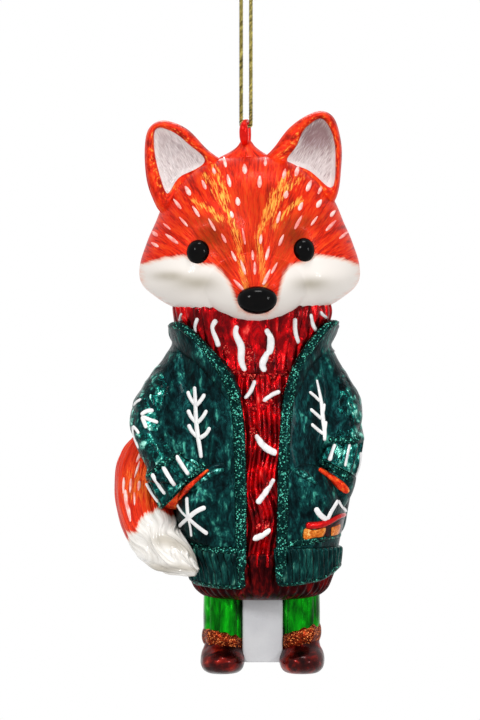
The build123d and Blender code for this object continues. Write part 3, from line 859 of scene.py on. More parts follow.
def ellipseReach(angle, x0, y0, wide, deep):
    # How far a ray at an angle goes to the far side of an ellipse centred at (x0, y0).
    ux, uy = np.sin(angle), -np.cos(angle)
    a = (ux / wide) ** 2 + (uy / deep) ** 2
    b = (ux * x0 / wide ** 2 + uy * y0 / deep ** 2) / a
    c = ((x0 / wide) ** 2 + (y0 / deep) ** 2 - 1) / a
    rest = b * b - c
    return b + np.sign(rest) * np.sqrt(np.abs(rest))


def coatMiddle(z):
    # Halfway between the torso's two sides.
    left, right, _ = byRow(coat["rows"], z)
    return (across(left) + across(right)) / 2


def coatRadius(angle, z):
    # The torso's ellipse, or a sleeve's where that reaches further, with a fillet between them.
    left, right, deep = byRow(coat["rows"], z)
    middle, wide = (across(left) + across(right)) / 2, (right - left) / 2 * photo["pixel"]
    out = ellipseReach(angle, 0, 0, wide, deep)
    (soft,) = byRow(coat["soft"], z)
    for side in ("left", "right"):
        column, half, depth, halfDeep = byRow(coat[side], z)
        half = np.maximum(half * photo["pixel"], 0.5)
        reach = ellipseReach(angle, across(column) - middle, depth, half, np.maximum(halfDeep, 0.5))
        out = smoothMax(out, reach - coat["under"], soft)
    return out


def coatPoints(angle, z, grow=0.0):
    # The radius, and what it grows by, laid off at each angle from the torso's middle.
    radius = coatRadius(angle, z) + grow
    return stack(coatMiddle(z) + radius * np.sin(angle), -radius * np.cos(angle), z)


def makeCoatTable():
    # Each level's front half, read at even steps of x.
    angles = np.radians(np.linspace(*coat["readDegrees"]))[None, :]
    zs = height(np.linspace(*coat["readRows"]))
    points = coatPoints(angles, zs[:, None])
    xs = across(np.linspace(*coat["readColumns"]))
    reach = np.maximum.accumulate(points[..., 0], axis=1)
    depths = np.array([np.interp(xs, reach[k], points[k, :, 1]) for k in range(len(zs))])
    return FrontTable(xs, zs, depths)


coatFront = makeCoatTable()


def angleAt(x, z):
    # The coat's angle at a column of x on its front, for each level.
    angles = np.radians(np.linspace(-panels["seam"], panels["seam"], 761))
    points = coatPoints(angles[None, :], z[:, None])
    reach = np.maximum.accumulate(points[..., 0], axis=1)
    return np.array([np.interp(x[k], reach[k], angles) for k in range(len(z))])


def curveColumn(path, z):
    # The column of a front-view curve at each height.
    line = smoothPath(spots(path), 300)
    order = np.argsort(line[:, 1])
    return np.interp(z, line[order, 1], line[order, 0])


panels = {
    "rowTop": 326, "rowTopBack": 340, "rowSeam": 549, "front": (120, 200), "back": (110, 150), "dents": 0.16,
    # degrees round the coat from its front: the side seams, and where the back begins and ends
    "seam": 95, "backFrom": 94, "backTo": 266,
    "leftEdge": [
        (243, 600), (243, 480), (242, 420), (236, 390), (222, 366), (203, 348), (186, 333), (176, 324),
    ],
    "rightEdge": [
        (275, 600), (278, 480), (281, 420), (286, 392), (294, 368), (304, 350), (320, 332), (332, 322),
    ],
}


def coatPanel(name, fromAngle, toAngle, rowTop, size, replaces):
    # The coat between two angles, from a row down to the hem's seam, with dents laid on its radius.
    z = height(np.linspace(rowTop, panels["rowSeam"], size[1]))
    share = np.linspace(0, 1, size[0])[None, :]
    start, end = fromAngle(z)[:, None], toAngle(z)[:, None]
    angle = start + (end - start) * share
    points = coatPoints(angle, z[:, None])
    dents = panels["dents"] * wobble(points * [1, 1, 0.7], 6.5, 3)
    points = coatPoints(angle, z[:, None], dents)
    return makePiece(name, [grid(points)], paints["jacket"], "jacket_green", replaces, wall=coat["wall"])


def level(degrees):
    # The same angle at every height.
    return lambda z: np.full(len(z), math.radians(degrees))


def openingEdge(side):
    # The angle of the coat's open edge at each height.
    return lambda z: angleAt(curveColumn(panels[side + "Edge"], z), z)


for side, sign in (("left", -1), ("right", 1)):
    coatPanel(
        f"jacket{side.capitalize()}Front", openingEdge(side), level(sign * panels["seam"]),
        panels["rowTop"], panels["front"], [f"jacket_{side}_front"],
    )
coatPanel(
    "jacketBack", level(panels["backFrom"]), level(panels["backTo"]),
    panels["rowTopBack"], panels["back"], ["jacket_back"],
)


def sleeveSheet(side, seed):
    # Level ellipses from the shoulder to the cuff, dented like foil, closed by a point at each end.
    table = coat[side]
    z = height(np.linspace(table[0][0], table[-1][0], 160))[:, None]
    column, half, depth, halfDeep = byRow(table, z)
    turn = roundTurn(150)[None, :]
    smooth = stack(across(column) + half * photo["pixel"] * np.sin(turn), depth - halfDeep * np.cos(turn), z)
    dents = 1 + (wobble(smooth * [1, 1, 0.8], 5.0, seed) + 0.6 * wobble(smooth, 2.6, seed + 1) - 0.4) * 0.035
    x = across(column) + half * photo["pixel"] * np.sin(turn) * dents
    y = depth - halfDeep * np.cos(turn) * dents
    return capped(stack(x, y, z))


for side, seed in (("left", 11), ("right", 23)):
    sleeve = sleeveSheet(side, seed)
    makePiece(side + "Sleeve", [sleeve], paints["sleeve"], "jacket_green", [side + "_sleeve"])
print("coat and sleeves")

# Cuffs and paws: stations of column, row, depth, half width and half depth in mm

arms = {
    "leftCuff": [
        (164, 465, -7.6, 5.5, 5.2), (171, 472, -8.0, 6.3, 5.3), (178, 479.5, -8.4, 7.1, 5.4),
        (185, 487, -8.8, 7.8, 5.4),
    ],
    "rightCuff": [
        (345.5, 435, -4.0, 4.3, 5.2), (343.5, 446, -4.8, 4.4, 5.2), (340, 458, -5.6, 4.6, 5.2),
        (335.5, 469, -6.2, 4.9, 5.2),
    ],
    "leftPaw": [
        (181, 481, -7.4, 7.2, 4.0), (187, 487.5, -7.2, 7.0, 3.8), (192, 493, -6.8, 5.6, 3.2),
        (196, 497, -6.4, 3.6, 2.2),
    ],
    "rightPaw": [
        (337, 462, -5.0, 4.2, 4.0), (337, 472, -5.0, 4.2, 3.8), (335, 480, -4.8, 3.8, 3.2),
        (332, 486, -4.6, 2.6, 2.2),
    ],
    "ribs": 11, "ribHeight": 0.4,
}


def cuffShape(way, turn):
    # Ribs round the cuff, which fade at both seams.
    return np.cos(arms["ribs"] * turn) * arms["ribHeight"] * ease(way / 0.12) * ease((1 - way) / 0.12)


def pawShape(way, turn):
    # Five low waves round the paw, which turn a little along it.
    return 0.1 * np.sin(5 * turn + way * 3)


for side in ("left", "right"):
    cuff = capped(limb(arms[side + "Cuff"], 240, 60, cuffShape))
    makePiece(side + "Cuff", [cuff], paints["cuff"], "jacket_green", [side + "_cuff"])
for side in ("left", "right"):
    paw = capped(limb(arms[side + "Paw"], 120, 40, pawShape))
    makePiece(side + "Paw", [paw], paints["paw"], "fox_orange", [side + "_paw"])


# Relief on the coat

def pillow(outline, proud, rim, base=0.0, sink=0.35):
    # Rings drawn in from a closed outline to its middle, raised from the coat by a quarter-round rim.
    edge = closedOutline(spots(outline), 180)
    middle = edge.mean(axis=0)
    share = (1 - np.linspace(0, 1, 24) ** 1.6)[:, None, None]
    place = middle + (edge - middle) * share
    inward = (1 - share[..., 0]) * np.linalg.norm(edge - middle, axis=-1)
    rise = np.sqrt(1 - (1 - np.clip(inward / rim, 0, 1)) ** 2)
    x, z = place[..., 0], place[..., 1]
    lift = proud(columnOf(x), rowOf(z)) if callable(proud) else proud
    base = base(columnOf(x), rowOf(z)) if callable(base) else base
    dents = 0.12 * wobble(place, 5.0, 5)
    y = coatFront.at(x, z) - base - (lift + dents) * rise + sink * (1 - rise)
    return grid(stack(x, y, z), closed=True)


pockets = {
    "left": [
        (224, 462), (209, 464), (193, 477), (177, 493), (164, 507), (165.5, 521), (174, 532), (188, 540),
        (206, 546), (230, 548), (236, 520), (235, 490), (231, 470),
    ],
    "right": [
        (296, 464), (309, 463), (323, 467), (338, 475), (349, 484), (348.5, 512), (342, 534), (322, 540),
        (292, 542), (286, 520), (287, 490), (290, 470),
    ],
    # column, row and reach in pixels of the bulge over each hand, and its height in mm
    "leftHand": (184, 503, 25, 4.6), "rightHand": (334, 496, 21, 3.2),
    # the column beside the glitter band, and the pixels from there to the full height
    "leftInner": 237, "rightInner": 286, "full": 40, "low": 0.15, "proud": 0.9, "rim": 0.9,
    # the right hand's cloth: column, row, depth, half width and half depth in mm
    "overHand": [
        (338, 466, -4.8, 4.3, 4.4), (337.5, 476, -5.0, 4.55, 5.2), (336, 486, -4.9, 4.35, 5.2),
        (333, 496, -4.6, 3.9, 4.8), (329, 506, -4.2, 3.2, 4.0), (325, 514, -3.6, 1.8, 2.4),
    ],
}


def pocketRise(side):
    # Low beside the glitter band, fuller outside, with a round bulge over the hand.
    middleColumn, middleRow, reach, rise = pockets[side + "Hand"]
    inner = pockets[side + "Inner"]

    def at(column, row):
        away = ((column - middleColumn) ** 2 + (row - middleRow) ** 2) / reach ** 2
        fuller = pockets["proud"] * ease(np.abs(column - inner) / pockets["full"])
        return pockets["low"] + fuller + rise * np.exp(-away)

    return at


makePiece(
    "leftPocket", [pillow(pockets["left"], pocketRise("left"), pockets["rim"])],
    paints["jacket"], "jacket_green", ["left_pocket"], facing=toViewer, wall=0.8,
)
makePiece(
    "rightPocket", [
        pillow(pockets["right"], pocketRise("right"), pockets["rim"]),
        capped(limb(pockets["overHand"], 90, 60)),
    ], paints["jacket"], "jacket_green", ["right_pocket"], wall=0.8,
)

patches = {
    "wide": [
        (303.5, 528), (315, 528.5), (326, 527.5), (325.5, 531), (324, 535), (313, 537.5), (303, 538),
        (302.5, 533),
    ],
    "small": [
        (331, 527), (336, 525.5), (340.5, 524), (340.5, 530), (338.5, 535), (334.5, 536), (331, 536),
        (330.5, 531),
    ],
    "gap": [
        (325, 525), (333, 523), (343, 519), (343.5, 526), (341, 534), (334, 537.5), (326, 537), (324, 532),
    ],
    "band": [(305, 524.3), (313, 524.4), (322.5, 523.2), (331.7, 519.6), (341, 515.6), (345.5, 515.5)],
    "bandWidths": (7.0, 7.5, 7.5, 6.5, 5.5, 4.5),
}
pocketFace = pocketRise("right")
makePiece(
    "pocketPatch", [pillow(patches[name], 0.5, 0.5, pocketFace) for name in ("wide", "small")],
    paints["patch"], "patch_orange", ["right_pocket_patch"], facing=toViewer, wall=0.5,
)
patchGap = pillow(patches["gap"], 0.15, 0.5, pocketFace)
makePiece("patchGap", [patchGap], paints["boots"], "patch_orange", facing=toViewer, wall=0.5)
patchBand = stroke(treeOf("rightPocket"), patches["band"], patches["bandWidths"], 0.7, soften=8, sink=0.9)
makePiece("patchBand", [patchBand], paints["patchRed"], "patch_orange")

# the raised edge of each pocket's mouth, in a lighter foil that is a painted highlight along it
folds = {
    "leftPocket": [(225, 468.5), (216, 471), (208, 475), (199, 482)],
    "rightPocket": [(292, 468), (300, 471.5), (308, 476.5), (317, 484)],
    "widths": (3, 7, 6.5, 3), "proud": 0.35,
}
makePiece(
    "pocketFoldHighlights", [
        stroke(treeOf(name), folds[name], folds["widths"], folds["proud"], soften=8, sink=0.7)
        for name in ("leftPocket", "rightPocket")
    ], paints["fold"], "jacket_green",
)

# Collar: a flared ring round the neck, and a rolled leaf at each side of the opening

collar = {
    "fromDegrees": 68.0, "rowFoot": 352.0, "rowRim": 324.5, "wall": 1.7,
    "proud": 0.25, "creaseRow": 347, "creaseDeep": 0.35, "creaseHalf": 1.1,
    "leftInner": [
        (168, 325.5), (178, 321.5), (189, 327), (200, 338), (210, 348), (222, 358), (232, 369), (238, 381),
        (242, 396),
    ],
    "leftOuter": [
        (168, 325.5), (168.5, 336), (174, 346), (182, 355), (191, 362), (201, 370), (210, 381), (219, 392),
        (230, 404),
    ],
    "rightInner": [
        (339.5, 322), (331, 320), (320, 330), (309, 342), (301, 353), (294, 366), (289.5, 380), (286.5, 395),
    ],
    "rightOuter": [
        (339.5, 322), (338.5, 331), (334.5, 340), (328, 351), (318.5, 361), (310, 371), (304, 382),
        (296, 398),
    ],
    # share across a leaf, height over the coat in mm
    "roll": [
        (0, -1.3), (0.05, -0.2), (0.14, 0.75), (0.32, 1.35), (0.55, 1.35), (0.78, 0.85), (0.93, 0.15),
        (1, -0.5),
    ],
}


def leafSheet(inner, outer):
    # Ruled between two curves of the front view, lifted by the roll's section.
    a, b = smoothPath(spots(inner), 130), smoothPath(spots(outer), 130)
    share = np.linspace(0, 1, 40)
    place = a[:, None] * (1 - share)[None, :, None] + b[:, None] * share[None, :, None]
    roll = np.array(collar["roll"])
    lift = splineAt(roll[:, 0], roll[:, 1], share)[None, :]
    ends = np.linspace(0, 1, 130)[:, None]
    lift = lift * ease(0.35 + ends * 9) * (1 - 0.5 * ease((ends - 0.75) / 0.25))
    x, z = place[..., 0], place[..., 1]
    dents = 0.1 * wobble(place * [1, 0.8], 5.5, 9)
    return grid(stack(x, coatFront.at(x, z) - lift - dents, z))


for side in ("left", "right"):
    leaf = leafSheet(collar[side + "Inner"], collar[side + "Outer"])
    makePiece(
        side + "Lapel", [leaf], paints["jacket"], "jacket_green", [side + "_lapel"],
        facing=toViewer, wall=1.0,
    )


def collarSheet():
    # Round the back from one leaf to the other: up the outside, over a half-round rim, down the inside.
    angle = np.radians(np.linspace(collar["fromDegrees"], 360 - collar["fromDegrees"], 220))[None, :]
    foot, rim = height(collar["rowFoot"]), height(collar["rowRim"])
    half = collar["wall"] / 2
    bend = np.linspace(0, math.pi, 14)
    up = np.linspace(0, 1, 22)[:-1]
    down = np.linspace(1, 0, 16)[1:]
    tall = rim - half - foot
    lift = np.concatenate([foot + tall * up, rim - half + half * np.sin(bend), foot + tall * down])
    inward = np.concatenate([0 * up, half - half * np.cos(bend), 0 * down + collar["wall"]])
    z, draw = lift[:, None], inward[:, None]
    fromCrease = (z - height(collar["creaseRow"])) / collar["creaseHalf"]
    crease = collar["creaseDeep"] * np.exp(-fromCrease ** 2)
    proud = collar["proud"] - crease + 0.1 * np.sin(angle * 9)
    return grid(coatPoints(angle, z, proud - draw))


makePiece("jacketCollar", [collarSheet()], paints["jacket"], "jacket_green", ["jacket_collar"])

# Ribbed hem bands

hemBand = {
    "rowTop": 546.5, "rowMiddle": 565.0, "proud": 0.95, "ribs": 0.24, "spacing": 7.0,
    "leftFoot": [(0, 587), (150, 583), (176, 583), (200, 585), (215, 586.5), (244, 587)],
    "rightFoot": [(270, 583), (290, 583), (305, 581.5), (322, 578.5), (334, 571), (344, 563), (380, 563)],
    "backFoot": [(150, 583), (185, 583), (200, 585), (330, 580), (340, 566), (360, 563)],
}


def bandSheet(fromAngle, toAngle, foot, columns):
    # The coat's own sections from the seam down, raised, with a rib at each step round.
    atMiddle = np.full(2, height(hemBand["rowMiddle"]))
    angle = np.linspace(fromAngle(atMiddle)[0], toAngle(atMiddle)[0], columns)[None, :]
    share = np.linspace(0, 1, 40)[:, None]
    middle = coatPoints(angle, np.full_like(angle, atMiddle[0]))
    low = height(np.interp(columnOf(middle[..., 0]), *np.transpose(foot)))
    top = height(hemBand["rowTop"])
    z = top + (low - top) * share
    length = travelled(middle[0]) / photo["pixel"]
    rib = np.cos(length * 2 * math.pi / hemBand["spacing"] + 0.8 * np.sin(length * 0.11)) * hemBand["ribs"]
    rib = rib * ease(share / 0.1) * ease((1 - share) / 0.1)
    rounding = hemBand["proud"] * np.sqrt(np.clip(1 - (2 * share - 1) ** 8, 0, 1))
    dents = 0.1 * wobble(stack(middle[..., 0], middle[..., 1], z), 5.0, 31)
    return grid(coatPoints(angle, z, rounding + rib + dents - 0.1))


for side, fromAngle, toAngle, columns in (
    ("left", openingEdge("left"), level(-panels["seam"]), 380),
    ("right", openingEdge("right"), level(panels["seam"]), 380),
    ("back", level(panels["backFrom"]), level(panels["backTo"]), 640),
):
    band = bandSheet(fromAngle, toAngle, hemBand[side + "Foot"], columns)
    makePiece(side + "HemBand", [band], paints["ribbedGreen"], "jacket_green", [side + "_hem_band"], wall=0.9)
print("relief, collar and hem bands")

# Sweater: strip, hem, turtleneck and its fold

sweater = {
    "left": [(243, 566), (243, 480), (241.5, 420), (233, 392), (226, 374)],
    "right": [(277, 566), (280, 480), (283, 420), (290, 392), (298, 374)],
    "inset": 0.75, "ribs": 0.42, "spacing": 9.6,
    # first row, last row and count
    "stripRows": (374, 566, 200), "neckRows": (384, 296, 100),
    # row, left column, right column, front depth, back depth
    "neck": [
        (384, 184, 320, 10.2, 9.8), (379, 183, 321, 11.4, 10.3), (372, 182, 322, 12.3, 10.6),
        (360, 181, 322, 12.0, 10.6), (345, 179, 325, 11.9, 10.8), (330, 176, 328, 12.2, 11.0),
        (318, 174, 331, 12.4, 11.4), (306, 173, 331, 12.0, 11.5), (296, 177, 327, 11.2, 11.0),
    ],
    "neckRibs": 40, "neckRib": 0.5, "hemRibs": 46, "hemRib": 0.26, "hemFade": (555, 601, 4),
    # row, left column, right column, half depth
    "hem": [
        (553, 190, 331, 13.0), (554, 184, 337, 14.3), (557, 183, 338.5, 14.65), (570, 187, 335.5, 14.4),
        (580, 191, 331.5, 14.0), (588, 194.5, 328, 13.4), (593, 199, 323.5, 12.6), (597, 205, 317, 11.2),
        (599.6, 216, 305, 8.6), (600.8, 235, 288, 4.6), (601.2, 262, 262.4, 0.1),
    ],
}


def stripSheet():
    # Between two curves of the front view, set back from the coat, with upright ribs.
    z = height(np.linspace(*sweater["stripRows"]))
    left, right = curveColumn(sweater["left"], z), curveColumn(sweater["right"], z)
    share = np.linspace(-0.06, 1.06, 100)[None, :]
    x = left[:, None] + (right - left)[:, None] * share
    z = z[:, None] + 0 * x
    place = stack(x, 0 * x, z)
    sway = 1.9 * wobble(place * [0.5, 1, 1], 12.0, 41)
    ribs = np.cos(columnOf(x) * 2 * math.pi / sweater["spacing"] + sway)
    dents = 0.34 * wobble(place * [1, 1, 0.6], 4.0, 43)
    return grid(stack(x, coatFront.at(x, z) + sweater["inset"] - sweater["ribs"] * ribs - dents, z))


makePiece(
    "sweaterFront", [stripSheet()], paints["sweater"], "sweater_red", ["sweater_front"],
    facing=toViewer, wall=0.9,
)


def neckSheet():
    # Level ovals with a deeper front, ribbed all round.
    z = height(np.linspace(*sweater["neckRows"]))[:, None]
    left, right, front, back = byRow(sweater["neck"], z)
    turn = roundTurn(560)[None, :]
    deep = np.where(np.cos(turn) > 0, front, back)
    half = (right - left) / 2 * photo["pixel"]
    place = stack(half * np.sin(turn), deep * np.cos(turn), z)
    phase = sweater["neckRibs"] * turn + 1.3 * wobble(place * [1, 1, 0.4], 16.0, 47)
    dents = 0.14 * wobble(place * [1, 1, 0.6], 4.5, 48)
    rib = sweater["neckRib"] * (np.abs(np.cos(phase / 2)) ** 0.7 - 0.6) + dents
    x = (across(left) + across(right)) / 2 + (half + rib) * np.sin(turn)
    return capped(stack(x, -(deep + rib) * np.cos(turn), z))


makePiece("turtleneck", [neckSheet()], paints["sweater"], "sweater_red", ["turtleneck"])


def hemSheet():
    # Level ovals along the table's spline, with upright ribs that fade at both ends.
    line = smoothPath([
        (float(height(row)), left * photo["pixel"], right * photo["pixel"], deep)
        for row, left, right, deep in sweater["hem"]
    ], 90)
    z, deep = line[:, :1], line[:, 3:4]
    left, right = line[:, 1:2] / photo["pixel"], line[:, 2:3] / photo["pixel"]
    turn = roundTurn(480)[None, :]
    half = np.maximum((right - left) / 2 * photo["pixel"], 0.05)
    first, last, soft = sweater["hemFade"]
    fade = ease((rowOf(z) - first) / soft) * ease((last - rowOf(z)) / soft)
    rib = sweater["hemRib"] * np.cos(sweater["hemRibs"] * turn + 0.8 * np.sin(turn * 5)) * fade
    x = (across(left) + across(right)) / 2 + (half + rib) * np.sin(turn)
    return capped(stack(x, -(np.maximum(deep, 0.05) + rib) * np.cos(turn), z))


makePiece("sweaterHem", [hemSheet()], paints["hem"], "hem_red", ["sweater_hem"])

neckFold = [(229, 371.5), (243, 375), (258, 376.5), (273, 375.5), (289, 372)]
makePiece("turtleneckFold", [stroke(treeOf("turtleneck"), neckFold, 7.5, 0.55, 90)], paints["redGlitter"],
          "red_glitter", ["turtleneck_fold"])
print("sweater")

# Head

head = {
    "middle": 249.7,
    # row, half width in pixels, half depth in mm
    "profile": [
        (323.0, 0.0, 0.0), (322.2, 9, 2.6), (319.8, 21, 5.2), (316.6, 36, 7.8), (312.6, 58, 10.2),
        (308, 75, 11.8), (302, 87, 12.8), (295, 97, 13.6), (287, 106, 14.3), (279, 110, 14.7),
        (270, 110.5, 14.8), (260, 109, 14.8), (248, 105, 14.8), (236, 100.5, 14.6), (224, 95, 14.2),
        (208, 88.5, 13.4), (194, 81, 12.4), (180, 69, 10.8), (170, 56, 9.0), (162, 41, 6.6), (157.5, 24, 4.0),
        (155.7, 10, 1.6), (155.3, 0, 0),
    ],
    "snout": {
        "column": 255.2, "row": 287.5, "wide": 12.0, "deep": 13.0, "high": 8.6, "centre": 7.2, "soft": 4.5,
    },
    # column, row, spread across, spread up (pixels), lift in mm
    "swells": [
        (251, 235, 14, 34, 1.1), (210, 247, 15, 12, -0.6), (293, 246, 15, 12, -0.6), (196, 226, 26, 9, 0.5),
        (304, 226, 26, 9, 0.5), (180, 282, 26, 15, 0.9), (322, 281, 26, 15, 0.9),
    ],
    "flow": (255, 302),
    "mask": [
        (100, 266), (142, 264), (161, 258.3), (184, 254.5), (200, 263), (213, 264), (222, 270.6),
        (229.5, 280.5), (234, 291.2), (238, 303), (247, 312), (267, 312), (274, 303), (277, 296),
        (279.5, 285), (282.5, 274), (289, 265), (303, 261), (315, 254.5), (330, 256), (345, 259),
        (361, 266), (400, 268),
    ],
    "wrap": 1.2, "grid": (180, 420),
    # the white enamel's rise, how far it starts under the glass, and its edge, in mm
    "enamel": {"rise": 0.07, "under": 0.03, "from": 0.15, "edge": 0.5, "keep": -0.4},
    "gold": [
        [(205, 176), (222, 200), (230, 218), (237, 236), (241, 262), (246, 290)],
        [(288, 172), (276, 192), (266, 214), (258, 238), (262, 268), (265, 292)],
        [(194, 202), (208, 208), (220, 220)], [(300, 200), (290, 208), (274, 226)],
        [(214, 168), (221, 182), (226, 200)], [(300, 178), (284, 192), (270, 214)],
    ],
    # column, row, spreads and amount
    "eyeShade": [
        (212, 240, 17, 15, 1.0), (291, 240, 17, 15, 1.0), (205, 222, 24, 8, 0.7), (302, 222, 24, 8, 0.7),
        (250, 205, 40, 30, 0.5), (251, 258, 9, 26, 0.5), (226, 262, 8, 16, 0.5), (280, 262, 8, 14, 0.5),
    ],
    # column, row and spreads of painted shade, grey low on the cheeks
    "greyShades": [(196, 283, 23, 8), (311, 284, 18, 7), (168, 276, 16, 5)],
}


def snoutDepth(x, z):
    # The front of the muzzle's ellipsoid, falling away past its edge.
    look = head["snout"]
    sideways = (x - across(look["column"])) / look["wide"]
    upright = (z - height(look["row"])) / look["high"]
    inside = 1 - sideways ** 2 - upright ** 2
    return look["centre"] + look["deep"] * np.sign(inside) * np.sqrt(np.abs(inside))


def headForward(depth, x, z):
    # The face's front from the oval's: the muzzle blended in, then the swells and sockets.
    out = smoothMax(depth, snoutDepth(x, z), head["snout"]["soft"])
    share = ease(depth / 5.0)
    for *place, lift in head["swells"]:
        out = out + lift * bell(columnOf(x), rowOf(z), *place) * share
    return out


def headLine(count):
    # The profile's spline as rows of height, half width and half depth, none below zero.
    table = [(height(row), half * photo["pixel"], deep) for row, half, deep in head["profile"]]
    line = smoothPath(table, count)
    line[:, 1:] = np.maximum(line[:, 1:], 0)
    return line


headDense = headLine(900)


def headFront(x, z):
    # The face's front at a place in the front view: the oval's depth there, carried forward.
    half = np.maximum(np.interp(z, headDense[:, 0], headDense[:, 1]), 0.01)
    deep = np.interp(z, headDense[:, 0], headDense[:, 2])
    side = np.clip(1 - ((x - across(head["middle"])) / half) ** 2, 0, 1)
    return -headForward(deep * np.sqrt(side), x, z)


def lineDistance(column, row, path):
    # Distance in pixels to a run of straight lines.
    path = np.asarray(path, float)
    best = np.full(np.broadcast(column, row).shape, 1e9)
    for (c0, r0), (c1, r1) in zip(path[:-1], path[1:]):
        along = ((column - c0) * (c1 - c0) + (row - r0) * (r1 - r0)) / ((c1 - c0) ** 2 + (r1 - r0) ** 2)
        along = np.clip(along, 0, 1)
        best = np.minimum(best, np.hypot(column - c0 - along * (c1 - c0), row - r0 - along * (r1 - r0)))
    return best


def faceMarks(points):
    # Fur lines fan out from the nose; white, gold and shade follow the painted zones, and the grey shade is
    # painted shade low on the cheeks.
    x, y, z = np.moveaxis(points, -1, 0)
    column, row = columnOf(x), rowOf(z)
    fx, fz = across(head["flow"][0]), height(head["flow"][1])
    angle = np.arctan2(x - fx, z - fz)
    reach = np.sqrt((x - fx) ** 2 + (z - fz) ** 2 + 0.5 * (y + 18) ** 2)
    front = ease((4 - y) / 6)
    bound = np.asarray(head["mask"], float)
    edgeRow = np.interp(column, bound[:, 0], bound[:, 1])
    slope = np.interp(column, (bound[1:, 0] + bound[:-1, 0]) / 2, np.diff(bound[:, 1]) / np.diff(bound[:, 0]))
    white = (row - edgeRow) / np.sqrt(1 + slope ** 2) * photo["pixel"]
    white = np.minimum(white, (head["wrap"] - y) * 0.16)
    gold = sum(np.exp(-(lineDistance(column, row, path) / 5.0) ** 2) for path in head["gold"]) * front
    shade = sum(amount * bell(column, row, *place) for *place, amount in head["eyeShade"]) * front
    cloud = sum(bell(column, row, *place) for place in head["greyShades"]) * front
    return {
        "fur": stack(angle * 20, reach * 0.13, 0 * x), "white": white, "gold": np.clip(gold, 0, 1),
        "shade": np.clip(shade, 0, 1), "cloud": np.clip(cloud, 0, 1),
    }


def headPoints(rows, columns):
    # Level ovals from chin to crown. Their front halves are carried forward to the face.
    line = headLine(rows)
    line[[0, -1], 1:] = 0
    z, half, deep = (line[:, k:k + 1] for k in range(3))
    turn = roundTurn(columns)[None, :]
    x = across(head["middle"]) + half * np.sin(turn)
    depth = deep * np.cos(turn)
    forward = headForward(np.maximum(depth, 0), x, z + 0 * x)
    way = ease(np.cos(turn) / 0.10)
    y = np.where(np.cos(turn) > 0, -(depth + (forward - np.maximum(depth, 0)) * way), -depth)
    y[[0, -1]] = y[[0, -1]].mean(axis=1, keepdims=True)
    return stack(x, y, z + 0 * x)


headGrid = headPoints(*head["grid"])
headMarks = faceMarks(headGrid)
makePiece(
    "headShell", [grid(headGrid, closed=True, **headMarks)], paints["fur"], "fox_orange", ["head_shell"],
)


def maskSheet():
    # The white enamel lies on the glass: raised a little inside its edge, just under the glass outside it.
    look = head["enamel"]
    lift = look["rise"] * ease((headMarks["white"] + look["from"]) / look["edge"]) - look["under"]
    ahead = np.roll(headGrid, -1, axis=1) - np.roll(headGrid, 1, axis=1)
    up = np.gradient(headGrid, axis=0)
    normal = np.cross(up, ahead)
    normal = normal / np.maximum(np.linalg.norm(normal, axis=-1, keepdims=True), 1e-9)
    middle = headGrid.mean(axis=(0, 1))
    normal = normal * np.sign(((headGrid - middle) * normal).sum(axis=-1, keepdims=True))
    return grid(headGrid + normal * lift[..., None], closed=True, **headMarks)


makePiece("faceMask", [maskSheet()], paints["fur"], "pearl_white", ["face_mask"], wall=0.5,
          keep=lambda sheet: (sheet["marks"]["white"] > head["enamel"]["keep"]).ravel())


def bead(column, row, halfSizes, depth, squash=0.0, rows=60, columns=90):
    # An oval bead about the view's axis: rings from its front pole to its back, flatter above.
    polar = np.linspace(0, math.pi, rows)[:, None]
    turn = roundTurn(columns)[None, :]
    wide, deep, high = halfSizes
    up = np.sin(polar) * np.cos(turn)
    up = up * (1 - squash * ease(up))
    return grid(stack(
        across(column) + wide * np.sin(polar) * np.sin(turn) * (1 + squash * 0.35 * up),
        depth - deep * np.cos(polar) + 0 * turn,
        height(row) + high * up,
    ), closed=True)


eyes = {
    "left": {"column": 198.8, "row": 252.5, "half": (2.86, 2.3, 3.02), "sink": 0.55},
    "right": {"column": 303.2, "row": 250.6, "half": (2.66, 2.3, 3.02), "sink": 0.55},
}
for side, look in eyes.items():
    seat = float(headFront(across(look["column"]), height(look["row"]))) + look["sink"]
    eye = bead(look["column"], look["row"], look["half"], seat)
    makePiece(side + "Eye", [eye], paints["black"], "black_enamel", [side + "_eye"])
nose = {"column": 257, "row": 299.5, "half": (4.75, 2.9, 3.45), "depth": -19.9, "squash": 0.07}
noseBead = bead(nose["column"], nose["row"], nose["half"], nose["depth"], nose["squash"])
makePiece("nose", [noseBead], paints["black"], "black_enamel", ["nose"])
print("head")

# Ears: outlines read as radii about a middle, carried through rings from the lining to the back

